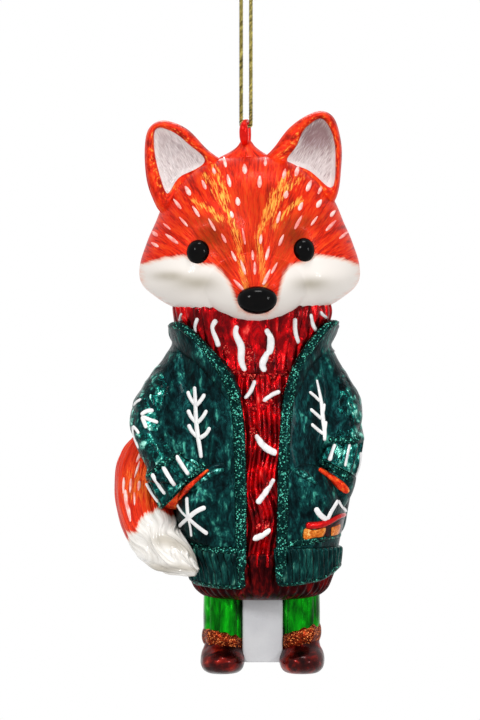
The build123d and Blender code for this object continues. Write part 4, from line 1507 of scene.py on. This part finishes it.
ears = {
    "left": {
        "middle": (176, 158),
        "outer": [
            (161, 213), (154, 202), (148.5, 188), (144.8, 165), (145, 142), (149.5, 127.5),
            (159.5, 121), (174, 122.8), (188.7, 130.5), (200.4, 142.5), (212, 153.5), (228, 168), (215, 190),
            (195, 208), (176, 217),
        ],
        "lining": [
            (157.5, 128.5), (166, 129.5), (177, 135), (190, 146), (204, 161), (188.7, 171.5),
            (176, 180), (167.8, 193), (161.5, 180), (156.2, 160), (154, 142),
        ],
    },
    "right": {
        "middle": (314, 150),
        "outer": [
            (258, 168), (272, 150), (285.5, 132.3), (298.7, 120.5), (310.4, 113.9),
            (322.2, 111), (332, 115.5), (338.6, 129.3), (342, 150), (341, 172), (335.4, 200), (322, 214),
            (300, 205), (276, 190),
        ],
        "lining": [
            (320.7, 119), (329, 127), (334.5, 144), (335.4, 164), (330.6, 187.5), (318, 177),
            (303, 167), (288, 160.5), (295.8, 148.4), (303, 132.3), (311.9, 123),
        ],
    },
    "foot": (216, 4.9), "tip": (112, 1.9), "recess": 1.5, "rimBack": 1.7,
    # share from the lining's edge to the rim, and depth behind the front plane
    "rings": [
        (-0.12, 1.75), (-0.03, 1.5), (0.06, 0.75), (0.2, 0.2), (0.42, -0.1), (0.66, 0.1), (0.86, 0.75),
        (0.97, 1.7),
    ],
}


def radiusAround(outline, middle, angles):
    # A closed outline as distances from a middle, at the given directions.
    edge = closedOutline(spots(outline), 600) - spots([middle])[0]
    direction = np.arctan2(edge[:, 0], edge[:, 1])
    order = np.argsort(direction)
    return np.interp(angles, direction[order], np.linalg.norm(edge, axis=1)[order], period=2 * math.pi)


def earPlane(z):
    # Half the ear's depth at a height: it thins towards the tip.
    (footRow, footDeep), (tipRow, tipDeep) = ears["foot"], ears["tip"]
    return np.interp(z, [float(height(footRow)), float(height(tipRow))], [footDeep, tipDeep])


def earSheets(side):
    # The ear: rings that step out from the lining's edge over the rolled rim, then a domed back that
    # closes at its middle. The lining: rings from its middle to its edge, set back like a bowl.
    look = ears[side]
    angles = np.linspace(-math.pi, math.pi, 360, endpoint=False)
    rim, inner = (radiusAround(look[line], look["middle"], angles) for line in ("outer", "lining"))
    middle = spots([look["middle"]])[0]
    rings = splineAt(np.arange(len(ears["rings"])), ears["rings"], np.linspace(0, len(ears["rings"]) - 1, 44))
    rows = [(inner + (rim - inner) * share, back, 1.0) for share, back in rings]
    for share in np.linspace(0.0, 1.0, 22):
        a = share * math.pi / 2
        rows.append((rim * math.cos(a) ** 0.35 if share < 1 else rim * 0, ears["rimBack"], -math.sin(a)))
    radius = np.array([np.broadcast_to(row[0], angles.shape) for row in rows])
    x = middle[0] + radius * np.sin(angles)
    z = middle[1] + radius * np.cos(angles)
    plane = earPlane(z)
    back = np.array([row[1] for row in rows])[:, None]
    turnBack = np.array([row[2] for row in rows])[:, None]
    behind = plane * np.clip(-turnBack, 0, 1)
    behind = behind + np.minimum(ears["rimBack"] - plane, 0) * (1 + np.clip(turnBack, -1, 0))
    y = np.where(turnBack > 0, -plane + np.minimum(back, plane), behind)
    share = (radius - inner) / np.maximum(rim - inner, 0.2)
    gold = np.exp(-((share - 0.25) / 0.3) ** 2) * 0.62 * (y < 0)
    marks = {
        "fur": stack(share * 1.6 + 20, angles * 2.4 + 0 * x, y * 0.25), "white": np.full(x.shape, -6.0),
        "gold": gold, "shade": np.full(x.shape, 0.1), "cloud": np.zeros(x.shape),
    }
    ear = grid(stack(x, y, z), closed=True, **marks)
    share = np.linspace(0, 1.06, 40)[:, None]
    x = middle[0] + inner * share * np.sin(angles)
    z = middle[1] + inner * share * np.cos(angles)
    bowl = ears["recess"] + 0.35 * (1 - share ** 2) - 0.5 * ease((share - 0.8) / 0.26)
    lean = (x - middle[0]) * (0.85 if side == "left" else -0.85) + (z - middle[1]) * 0.5
    upper = ease((z - middle[1] + 4) / 9)
    shade = 0.35 + upper * (0.55 if side == "right" else 0.15) - 0.3 * ease((share - 0.72) / 0.25)
    lining = grid(
        stack(x, -earPlane(z) + bowl, z), closed=True,
        fur=stack(lean * 2.6, (z - middle[1]) * 0.3, 0 * x), shade=shade,
    )
    return ear, lining


for side, finish in (("left", "leftLining"), ("right", "rightLining")):
    ear, lining = earSheets(side)
    makePiece(side + "Ear", [ear], paints["fur"], "fox_orange", [side + "_ear"])
    makePiece(side + "EarLining", [lining], paints[finish], "pearl_white", [side + "_ear_lining"],
              facing=toViewer, wall=0.8)
print("ears")

# Crown: a low cone drawn up to the eyelet

crown = {
    # radius in mm, row
    "boss": [
        (6.8, 159), (5.7, 156.2), (4.3, 153), (2.9, 149.2), (1.85, 145), (1.3, 141.6),
        (0.9, 140), (0.0, 139.4),
    ],
    "turn": -14.0, "flatten": 0.42, "flatFrom": 6.5,
    # across, row, wire radius: up the front strand, over the top, down the back strand
    "eyelet": [
        (-1.3, 144, 0.8), (-1.8, 139, 1.05), (-2.1, 132, 1.12), (-2.1, 126.5, 0.95), (-1.5, 122.3, 0.58),
        (0, 120.8, 0.5), (1.45, 122.3, 0.54), (1.95, 126, 0.66), (1.95, 132, 0.78), (1.7, 139, 0.8),
        (1.4, 144, 0.7),
    ],
}


def bossSheet():
    # The profile's spline turned about the upright axis, with faint ripples where the hot glass was drawn.
    line = smoothPath([(radius, float(height(row))) for radius, row in crown["boss"]], 60)
    turn = roundTurn(120)[None, :]
    radius = np.maximum(line[:, :1], 0) * (1 + 0.03 * np.sin(turn * 7 + line[:, 1:]))
    radius[-1] = 0
    deep = radius * (1 - crown["flatten"] * ease(radius / crown["flatFrom"]))
    points = stack(radius * np.sin(turn), -deep * np.cos(turn), line[:, 1:] + 0 * turn)
    plain = np.zeros(points.shape[:2])
    return grid(points, closed=True, fur=stack(turn * 4 + 0 * plain, points[..., 2] * 0.2, plain + 30),
                white=plain - 6, gold=plain, shade=plain, cloud=plain)


def eyeletSheet():
    # A round wire, thicker at its feet, along the spline of the loop.
    line = smoothPath([(away, float(height(row)), radius) for away, row, radius in crown["eyelet"]], 150)
    path = stack(0 * line[:, 0], line[:, 0], line[:, 1])
    ahead = unit(np.gradient(path, axis=0))
    side = np.broadcast_to([1.0, 0, 0], ahead.shape)
    front = np.cross(ahead, side)
    turn = roundTurn(28)
    ring = side[:, None] * np.cos(turn)[None, :, None] + front[:, None] * np.sin(turn)[None, :, None]
    return capped(turned(path[:, None] + ring * line[:, 2][:, None, None], crown["turn"]))


makePiece("crownBoss", [bossSheet()], paints["fur"], "fox_orange", ["crown_boss"])
makePiece("hangerEyelet", [eyeletSheet()], paints["redGlass"], "red_glass", ["hanger_eyelet"])

# Tail: a grooved limb from behind the left sleeve round to the hem; its tip is white

tail = {
    # column, row, depth, half width, half depth in mm
    "stations": [
        (150, 428, 5.0, 1.6, 1.6), (148, 446, 4.4, 4.4, 4.4), (143.5, 466, 3.2, 6.2, 6.0),
        (141.5, 486, 1.4, 6.4, 6.4), (143, 505, -0.8, 6.4, 6.4), (148, 522, -3.2, 6.3, 6.2),
        (156, 537, -5.8, 6.0, 5.6), (167, 550, -8.2, 5.0, 4.8), (180, 560, -10.2, 3.6, 3.6),
        (190, 567, -11.4, 2.2, 2.4), (197, 571.5, -12.0, 0.9, 1.0),
    ],
    "split": 0.60, "grooves": 0.42, "rows": 240, "columns": 240,
    # share along, angle round
    "gold": [(0.12, 4.3), (0.28, 3.9), (0.46, 4.2), (0.4, 5.2)], "goldSpread": (0.16, 0.6),
    "length": 46.0, "lap": 6, "tuck": 0.1,
}


def tailForm(way, turn):
    # Fur grooves: waves round the tail that drift along it, and carved swirls on the tip.
    turn = turn + tailTwist(way, turn)
    place = stack(np.cos(turn) * 2.1, np.sin(turn) * 2.1, way * 3.0 + 0 * turn)
    grooves = wobble(place, 1.15, 61) + 0.7 * wobble(place, 0.6, 62)
    tip = ease((way - tail["split"]) / 0.1)
    rise = tail["grooves"] * grooves * (0.6 + 0.45 * tip)
    return rise * ease(way / 0.1) * (1 - 0.6 * ease((way - 0.85) / 0.15))


def tailTwist(way, turn):
    # The strands wind to and fro round the tip, not all alike.
    phase = 1.3 * np.sin(turn * 2 + 0.5) + 0.7 * np.sin(turn * 3 + way * 9)
    return 0.42 * np.sin(way * 21 + 1 + phase) * ease((way - tail["split"]) / 0.15)


tailPoints = limb(tail["stations"], tail["columns"], tail["rows"], tailForm)
tailWay = np.linspace(0, 1, tail["rows"])[:, None] + np.zeros((1, tail["columns"]))
tailTurn = roundTurn(tail["columns"])[None, :] + 0 * tailWay


def tailMarks(way, turn):
    # Fur lines run along the wound strands; white begins at the split with a wavy edge.
    wound = turn + tailTwist(way, turn)
    white = (way - tail["split"]) * tail["length"] + 0.9 * np.sin(turn * 3 + 1) + 0.5 * np.sin(turn * 8)
    gold = sum(bell(way, turn, *place, *tail["goldSpread"]) for place in tail["gold"])
    return {
        "fur": stack(np.cos(wound) * 6 + 50, way * 4.5, np.sin(wound) * 6),
        "white": white,
        "gold": np.clip(gold, 0, 1) * 0.9,
        "shade": np.clip(0.1 * np.sin(turn * 2 + way * 8), 0, 1),
        # painted shade: grey bands on the white tip
        "cloud": np.clip(0.2 + 0.6 * np.sin(turn * 3 + way * 26), 0, 1) * ease((way - 0.66) / 0.1),
    }


def tucked(points, sunk):
    # Each ring drawn in to its middle by its share of sunk.
    middle = points.mean(axis=1, keepdims=True)
    return middle + (points - middle) * (1 - tail["tuck"] * sunk[:, None, None])


splitRow, lap = int(tail["split"] * tail["rows"]), tail["lap"]
brushSunk = ease((np.arange(splitRow + lap) - splitRow) / lap)
tipSunk = ease((lap - np.arange(tail["rows"] - splitRow + lap)) / lap)
for name, part, node, slotName, sunk in (
    ("tailBrush", slice(0, splitRow + lap), "tail_brush", "fox_orange", brushSunk),
    ("tailTip", slice(splitRow - lap, None), "tail_tip", "pearl_white", tipSunk),
):
    marks = tailMarks(tailWay[part], tailTurn[part])
    makePiece(name, [capped(tucked(tailPoints[part], sunk), **marks)], paints["tailFur"], slotName, [node])
print("tail")

# Legs

legs = {
    "left": {
        "column": 223.3, "trouser": 4.65, "boot": (222.5, 5.2),
        "cuff": (203, 243.3), "cuffTop": (627.5, 637), "cuffFoot": (645.5, 652),
    },
    "right": {
        "column": 300.6, "trouser": 4.55, "boot": (302, 5.3),
        "cuff": (280.5, 320.5), "cuffTop": (635, 623), "cuffFoot": (651, 643),
    },
    "trouserRows": (594, 640), "trouserDeep": 5.2, "ribs": 11, "rib": 0.3,
    "cuffDeep": 5.7, "cuffSwell": 1.0, "cuffWave": 0.22,
    # row, half width share, half depth, centre's depth
    "boot": [
        (639, 0.78, 4.6, -0.3), (646, 0.84, 5.0, -0.6), (651, 0.93, 6.0, -1.1), (656, 1.0, 7.0, -1.6),
        (661, 1.025, 7.5, -1.9), (666, 0.995, 7.4, -1.9), (670, 0.91, 6.8, -1.8), (673, 0.76, 5.7, -1.6),
        (674.7, 0.52, 4.0, -1.4), (675, 0.24, 1.9, -1.3), (675, 0.0, 0.0, -1.3),
    ],
    "web": {"columns": (242.5, 283), "rows": (596, 663.5), "deep": 3.5, "power": 16.0},
}


def trouserSheet(look):
    # Level ovals with sharp-cut ribs, a little fuller halfway down.
    top, foot = legs["trouserRows"]
    z = height(np.linspace(top, foot, 60))[:, None]
    turn = roundTurn(300)[None, :]
    rib = legs["rib"] * (np.abs(np.cos(turn * legs["ribs"] / 2 + 0.5 * np.sin(turn * 3))) ** 0.6 - 0.6)
    bulge = 0.12 * np.sin((rowOf(z) - top) / (foot - top) * math.pi)
    wide, deep = look["trouser"] + rib + bulge, legs["trouserDeep"] + rib + bulge
    return capped(stack(across(look["column"]) + wide * np.sin(turn), -deep * np.cos(turn), z + 0 * turn))


def bootCuffSheet(look):
    # A swollen ring that tilts with the boot's top, with a wavy edge.
    middle = sum(look["cuff"]) / 2
    half = (look["cuff"][1] - look["cuff"][0]) / 2 * photo["pixel"]
    turn = roundTurn(200)[None, :]
    share = np.linspace(0, 1, 40)[:, None]
    tilt = (np.sin(turn) + 1) / 2
    top = height(look["cuffTop"][0] + (look["cuffTop"][1] - look["cuffTop"][0]) * tilt)
    foot = height(look["cuffFoot"][0] + (look["cuffFoot"][1] - look["cuffFoot"][0]) * tilt)
    wave = legs["cuffWave"] * np.sin(turn * 9 + 1.1 * np.sin(turn * 2))
    z = top + (foot - top) * share + wave
    swell = legs["cuffSwell"] * (np.sqrt(np.clip(1 - (2 * share - 1) ** 2, 0, 1)) - 0.75)
    swell = swell + 0.12 * np.sin(turn * 9 + 2)
    wide, deep = half + swell, legs["cuffDeep"] + swell
    return capped(stack(across(middle) + wide * np.sin(turn), -deep * np.cos(turn), z))


def bootSheet(look):
    # Level ovals along the table's spline, wider at the toe, closed on top and drawn to a point below.
    column, half = look["boot"]
    table = [(height(row), wide * half, deep, centre) for row, wide, deep, centre in legs["boot"]]
    line = smoothPath(table, 90)
    line[-1, 1:3] = 0
    z, wide, deep, centre = (line[:, k:k + 1] for k in range(4))
    turn = roundTurn(160)[None, :]
    toe = 1 + 0.05 * np.cos(turn) * ease((rowOf(z) - 645) / 12)
    points = stack(across(column) + wide * np.sin(turn) * toe, centre - deep * np.cos(turn), z + 0 * turn)
    points = points + (0.06 * wobble(points, 3.2, 71) * (wide > 0.5))[..., None] * [1, 1, 0]
    cap = np.broadcast_to(points[:1].mean(axis=1, keepdims=True), points[:1].shape)
    return grid(np.concatenate([cap, points]), closed=True)


def webSheet(look):
    # A slab whose front view and plan are both superellipses.
    polar = np.linspace(-math.pi / 2, math.pi / 2, 90)[:, None]
    turn = roundTurn(160)[None, :]
    power = 2 / look["power"]
    c0, c1 = look["columns"]
    r0, r1 = look["rows"]

    def rounded(value, p):
        # The size of a value to a power, with the value's sign.
        return np.sign(value) * np.abs(value) ** p

    wide, tall = (c1 - c0) / 2 * photo["pixel"], (r1 - r0) / 2 * photo["pixel"]
    x = across((c0 + c1) / 2) + wide * rounded(np.cos(polar), power) * rounded(np.sin(turn), power)
    y = -look["deep"] * rounded(np.cos(polar), power) * rounded(np.cos(turn), power)
    z = height((r0 + r1) / 2) + tall * rounded(np.sin(polar), power) + 0 * turn
    hollow = 0.25 * np.exp(-((x - across(262)) / 2.6) ** 2) * (y < 0)
    return grid(stack(x, y + hollow, z), closed=True)


for side in ("left", "right"):
    look = legs[side]
    trouser, cuff, boot = trouserSheet(look), bootCuffSheet(look), bootSheet(look)
    makePiece(side + "Trouser", [trouser], paints["trousers"], "trouser_green", [side + "_trouser"])
    makePiece(side + "BootCuff", [cuff], paints["copperGlitter"], "copper_glitter", [side + "_boot_cuff"])
    makePiece(side + "Boot", [boot], paints["boots"], "boot_brown", [side + "_boot"])
makePiece("legWeb", [webSheet(legs["web"])], paints["web"], "web_grey", ["leg_web"])
print("legs")

# Glitter trims

coatTree = treeOf(
    "jacketLeftFront", "jacketRightFront", "leftSleeve", "rightSleeve", "leftLapel", "rightLapel",
    "leftHemBand", "rightHemBand", "leftPocket", "rightPocket", "leftCuff", "rightCuff",
)
spread = {"glitter": 1.25, "enamel": 1.5}  # drawn width over traced width
trims = {
    "leftPlacket": (["left_placket"], [(
        [(169, 327), (179, 326), (190, 333), (200, 342), (210, 353), (219, 365), (227, 378),
         (233, 393), (237, 412), (239.5, 440), (240.5, 472), (241, 520), (241, 586)],
        (6, 8, 9, 9.5, 9.5, 9.5, 9, 9, 9), 0.6)]),
    "rightPlacket": (["right_placket"], [(
        [(337.5, 323), (329, 326), (318, 337), (308, 349), (300, 361), (294, 374), (290, 390),
         (287, 410), (284.5, 440), (283, 485), (282, 530), (279, 582)],
        (6, 8, 9, 9.5, 9.5, 9.5, 9, 9, 9), 0.6)]),
    "hemTrim": ([], [
        ([(190, 545.5), (205, 547.5), (225, 549), (241, 549)], (5, 6, 6, 5), 0.4),
        ([(283, 543.5), (300, 541.5), (322, 539), (341, 535.5)], (5, 6, 6, 4), 0.4),
        ([(193, 582), (205, 584.5), (222, 586), (243, 586)], (5, 6, 6, 5), 0.45),
        ([(277, 582.5), (292, 583), (306, 581), (322, 578), (333, 571), (341.5, 564)],
         (6, 6, 6, 6, 5, 4), 0.45),
    ]),
    "cuffTrim": ([], [
        ([(146.5, 475.5), (158, 467), (170, 459), (184, 451.5)], (4, 5, 5, 4), 0.35),
        ([(161.5, 507), (175, 493.5), (190, 478), (206, 463)], (5, 6, 6, 6), 0.45),
        ([(328, 438.5), (338, 440.5), (350, 440), (361, 437.5)], (4, 5, 5, 4), 0.35),
        ([(317.5, 461.5), (328, 465), (340, 471.5), (353.5, 480.5)], (5, 7, 7, 6), 0.45),
    ]),
}
for name, (nodes, lines) in trims.items():
    sheets = [
        stroke(coatTree, path, np.multiply(widths, spread["glitter"]), proud, soften=10)
        for path, widths, proud in lines
    ]
    makePiece(name, sheets, paints["greenGlitter"], "green_glitter", nodes)
pawEdges = [
    ([(166, 511.5), (172, 504.5), (180, 496), (190, 485), (200, 476), (209, 468.5)],
     (10, 9, 7, 5, 4, 3), 0.5),
    ([(318, 468), (325, 472.5), (334, 479.5), (342, 486.5), (348.5, 492)], (5, 6, 7.5, 9.5, 6.5), 0.5),
]
makePiece("pawEdges", [
    stroke(coatTree, path, widths, proud, soften=14, sink=0.8) for path, widths, proud in pawEdges
], paints["paw"], "fox_orange")
sweaterTree = treeOf("sweaterFront", "turtleneck", "turtleneckFold", "sweaterHem")
glitterPatches = [
    ([(246, 401), (258, 407), (268, 399)], 9, 0.15), ([(262, 405), (275, 400)], 7, 0.15),
    ([(250, 428), (258, 437), (262, 443)], 9, 0.15), ([(263, 490), (272, 480)], 8, 0.12),
    ([(256, 527), (270, 522)], 8, 0.12), ([(267, 335), (272, 345), (269, 362)], 7, 0.12),
    ([(225, 345), (228, 358)], 7, 0.12), ([(243, 340), (250, 352), (246, 366)], 7, 0.12),
    ([(287, 385), (281, 394)], 6, 0.12),
]
makePiece("sweaterGlitter", [
    stroke(sweaterTree, path, width, proud, soften=8) for path, width, proud in glitterPatches
], paints["redGlitter"], "red_glitter")
print("trims")

# Enamel strokes: path, width in pixels

enamel = {
    "leftTwig": [
        ([(194.6, 386), (195.2, 396), (195.6, 406), (196.4, 422), (198.2, 437), (200, 448), (201.4, 458)],
         (2.6, 3.2, 3.4, 3.6, 3.6, 3.2, 2.6)),
        ([(187.6, 391), (191, 399), (195.4, 405)], 2.8), ([(205, 393.5), (201, 400), (195.6, 406)], 3.0),
        ([(188, 409.5), (191.5, 417), (196.4, 422.5)], 2.8), ([(207, 409.5), (203, 416.5), (197, 423)], 2.8),
        ([(188.5, 424), (192, 431), (198, 437)], 2.8), ([(210, 426.5), (206.5, 433), (199, 438)], 3.0),
    ],
    "rightTwig": [
        ([(316.5, 379.5), (319, 391), (321, 401), (323, 420), (324.5, 432), (324.3, 441)],
         (1.6, 2.2, 2.8, 3.2, 3.0, 2.2)),
        ([(309, 391.5), (314, 395.5), (320, 401.5)], 2.2), ([(310, 408.6), (315, 413), (321.5, 419)], 2.4),
        ([(311, 423.5), (316.5, 428.5), (323.5, 434)], 2.4),
        ([(324.3, 403.5), (323.5, 411), (321.8, 417)], 1.8), ([(326, 421), (325.3, 428), (324, 434)], 1.8),
    ],
    "sleeveMarks": [
        ([(141.5, 399.5), (137, 402), (133.5, 406)], 2.6),
        ([(141, 415), (147, 411), (154, 410.5)], 3.0), ([(142.5, 416.5), (150, 419.5), (158.5, 422.3)], 2.6),
        ([(142, 416), (144.5, 422), (146.7, 428)], 3.0),
        ([(132.8, 426), (134, 436), (139, 448)], 2.6), ([(132.8, 426), (136, 429), (139.5, 433.5)], 2.2),
    ],
    "cuffStripes": [
        ([(146, 483), (151, 492), (158.5, 502)], 2.2), ([(152, 473), (158, 483), (165.6, 493.5)], 3.0),
        ([(162, 463), (168, 474), (175.6, 485)], 3.0), ([(176, 454.5), (182, 464), (189, 474.5)], 3.0),
        ([(334.7, 443.5), (331.5, 452), (329, 460.5)], 3.6),
        ([(349.6, 443.5), (347, 455), (344.6, 466)], 3.0), ([(360.6, 452), (359.5, 465), (355.5, 477)], 2.6),
    ],
    "pocketStar": [
        ([(187, 496), (187.5, 506), (188.5, 517)], 3.0), ([(206, 506), (197.5, 509.5), (188.5, 517)], 3.2),
        ([(208, 533), (199, 526.5), (188.5, 517)], 3.2), ([(191.5, 536), (190.5, 526), (188.5, 517)], 1.8),
        ([(179, 526.5), (183, 522), (188.5, 517)], 2.6), ([(177.3, 504), (182, 511), (188.5, 517)], 2.2),
    ],
    "pocketZigzag": [
        ([(315, 506.5), (320, 514), (327, 519.5)], 3.8), ([(327, 519.5), (332, 509), (338, 500)], 3.6),
        ([(338, 500), (342, 507), (347, 513)], 2.8),
    ],
}
neckMarks = {
    "neckStrokes": [
        ([(182, 313.5), (180.4, 318), (179.7, 322)], 2.0), ([(198, 318), (195.5, 326), (196.5, 333.5)], 2.8),
        ([(217, 319.5), (212.8, 326), (215.5, 337), (219, 347)], 3.6),
        ([(237.3, 325), (235.6, 332), (241, 346), (241.3, 360), (245.5, 371)], (3.2, 4.6, 5.0, 4.6, 3.4)),
        ([(265.5, 328.5), (270, 338), (268.3, 352), (262.5, 366), (265.5, 371.5)], (3.2, 5.2, 5.4, 4.8, 4.0)),
        ([(295, 318), (295, 330), (298.5, 343.5)], 3.0), ([(310.5, 314), (312.5, 324), (316, 331)], 2.8),
        ([(320, 311.5), (323, 315.5), (327, 318.5)], 2.4),
    ],
    "sweaterStrokes": [
        ([(255, 379.8), (251, 390), (244.8, 398)], (3.4, 3.4, 2.2)),
        ([(280, 391), (271.5, 394.5), (263, 401)], 3.0),
        ([(255.5, 433.5), (264, 445.5), (277, 453)], (3.4, 5.2, 4.4)),
        ([(274, 477.5), (267, 489), (256.8, 502.5)], (2.6, 4.0, 4.0)),
        ([(270.5, 528), (262, 534), (252.6, 537.8)], (3.4, 4.2, 4.0)),
    ],
}
for group, tree, lift, soften in ((enamel, coatTree, 0.3, 6), (neckMarks, sweaterTree, 0.45, 5)):
    for name, marks in group.items():
        sheets = [
            stroke(tree, path, np.multiply(width, spread["enamel"]), lift, soften=soften, sink=0.5)
            for path, width in marks
        ]
        makePiece(name, sheets, paints["enamel"], "pearl_white")

# Flecks on the face: middle, length and width in pixels; each points along the fur

flecks = {
    "spots": [
        (224.9, 162.5), (244.7, 169.4), (265.4, 162.5), (214, 171.4), (228.9, 181.3), (259.5, 182.3),
        (204.1, 185.2), (187.9, 191.2), (237.8, 202), (177.5, 204.4), (196.2, 211.9), (231.8, 214.9),
        (285.8, 195.1), (308.9, 186.2), (320.8, 189.1), (297, 171.4), (284.2, 174.3), (278.3, 217.8),
        (300.4, 206.9), (318.9, 204), (332.6, 213.9), (298, 222.8), (313.9, 221.3), (330.7, 225.9),
        (343.5, 235.6), (167, 226.7), (183.8, 222.2), (212, 225), (172, 239.2), (155, 245), (223.8, 238.6),
        (243.7, 236.6), (260.7, 239.5), (281, 240.5), (154.7, 234), (233.8, 256.4), (252.6, 255.4),
        (267.4, 253.4), (274, 268.2), (254.6, 268.3), (238.7, 285), (266.4, 277.2), (243, 267.3),
    ],
    "length": 10.5, "width": 4.3, "proud": 0.18, "lowFrom": 219,
    # spot and the place that its blunt end points to
    "tail": [
        ((137, 470), (144, 448)), ((130.5, 486), (132, 464)), ((126, 500), (124, 480)),
        ((134.5, 499), (134, 480)), ((129, 513), (126, 498)), ((139, 486), (141, 466)),
        ((123.5, 486), (124, 470)), ((139.5, 456), (147, 440)),
    ],
}
headTree = treeOf("headShell", "faceMask", "crownBoss")


def fleckStroke(tree, spot, aim, scale, seed):
    # A teardrop along the fur: blunt at the end nearer the nose, pointed at the other.
    chance = np.random.default_rng(seed)
    way = np.array(spot, float) - np.array(aim, float)
    way = way / np.linalg.norm(way) * flecks["length"] * scale[0] * chance.uniform(0.6, 1.3) / 2
    width = flecks["width"] * chance.uniform(0.7, 1.25) * scale[1]
    a, b = np.array(spot) - way, np.array(spot) + way
    widths = (width * 0.5, width, width * 0.85, width * 0.3)
    return stroke(tree, [a, b], widths, flecks["proud"], 14, 8, 2, 0.25)


# the lower ones are pinker, longer and thinner
for name, paint, low, scale in (
    ("faceFlecks", "fleck", False, (1, 1)),
    ("muzzleFlecks", "pinkFleck", True, (1.3, 0.82)),
):
    makePiece(name, [
        fleckStroke(headTree, spot, head["flow"], scale, k)
        for k, spot in enumerate(flecks["spots"]) if (spot[1] > flecks["lowFrom"]) == low
    ], paints[paint], "pearl_white")
tailTree = treeOf("tailBrush")
makePiece("tailFlecks", [
    fleckStroke(tailTree, spot, aim, (1.5, 0.9), 80 + k) for k, (spot, aim) in enumerate(flecks["tail"])
], paints["fleck"], "pearl_white")
print("enamel")

# Studio: a pale floor well below the boots, white all round for the camera and for gloss, soft lamps

studio = {
    "floorDrop": 60.0, "floorHalf": 480.0, "floorFade": (0.2, 0.46), "floor": (0.86, 0.86, 0.86, 1),
    "diffuse": 0.5, "lampsRow": 400,
    # place in mm from the object's middle, size in mm, watts
    "lamps": [
        ("keyBox", (-480, -780, 420), (150, 210), 3.8), ("fillBox", (640, -640, 160), (110, 260), 2.0),
        ("topBox", (60, -220, 780), (260, 180), 2.6), ("backBox", (0, 800, 420), (300, 240), 1.2),
    ],
}


def makeStudio(look):
    # The floor fades out round its middle. The sky is white to the camera, to gloss and through glass,
    # and dimmer as light on matt surfaces, so the lamps can shape the forms.
    half = look["floorHalf"] * mm
    flat = np.array([(-half, -half, 0), (half, -half, 0), (half, half, 0), (-half, half, 0)])
    mesh = bpy.data.meshes.new("floor")
    mesh.from_pydata((flat + [0, 0, (solesHeight - look["floorDrop"]) * mm]).tolist(), [], [(0, 1, 2, 3)])
    fromMiddle = mesh.attributes.new("middle", "FLOAT_VECTOR", "POINT")
    fromMiddle.data.foreach_set("vector", flat.astype(np.float32).ravel())
    floor = bpy.data.objects.new("floor", mesh)
    bpy.context.scene.collection.objects.link(floor)
    paint = Paint("paleFloor")
    grain = paint.noise(paint.place(), 0.02, 2.0)
    spot = paint.mark("middle", "Vector")
    away = paint.node("ShaderNodeVectorMath", {"operation": "LENGTH"}, {0: spot}, "Value")
    fade = 1 - paint.step(away, *look["floorFade"])
    mesh.materials.append(paint.finish(
        Base_Color=look["floor"], Roughness=grain * 0.1 + 0.8, Specular_IOR_Level=0.1, Alpha=fade))
    bpy.context.scene.world = bpy.data.worlds.new("studio")
    sky = Paint("studio", bpy.context.scene.world)
    rays = ("Is Camera Ray", "Is Glossy Ray", "Is Transmission Ray")
    direct, gloss, glass = (sky.node("ShaderNodeLightPath", output=ray) for ray in rays)
    seen = sky.math("MAXIMUM", sky.math("MAXIMUM", direct, gloss), glass)
    strength = sky.node("ShaderNodeMapRange", None, {"Value": seen, "To Min": look["diffuse"], "To Max": 1.0})
    light = sky.node("ShaderNodeBackground", None, {"Color": (1, 1, 1, 1), "Strength": strength})
    sky.node("ShaderNodeOutputWorld", None, {"Surface": light}, output=None)
    middle = Vector((0, 0, float(height(look["lampsRow"])))) * mm
    for name, place, size, watts in look["lamps"]:
        lamp = bpy.data.lights.new(name, "AREA")
        lamp.shape = "RECTANGLE"
        lamp.size, lamp.size_y = size[0] * mm, size[1] * mm
        lamp.energy = watts
        holder = bpy.data.objects.new(name, lamp)
        holder.location = middle + Vector(place) * mm
        holder.rotation_euler = (middle - holder.location).to_track_quat("-Z", "Y").to_euler()
        bpy.context.scene.collection.objects.link(holder)


makeStudio(studio)
bpy.context.scene.view_settings.view_transform = "Standard"

print("pieces", len(pieces), "triangles about", sum(len(faces) * 2 for _, faces in shapes.values()))
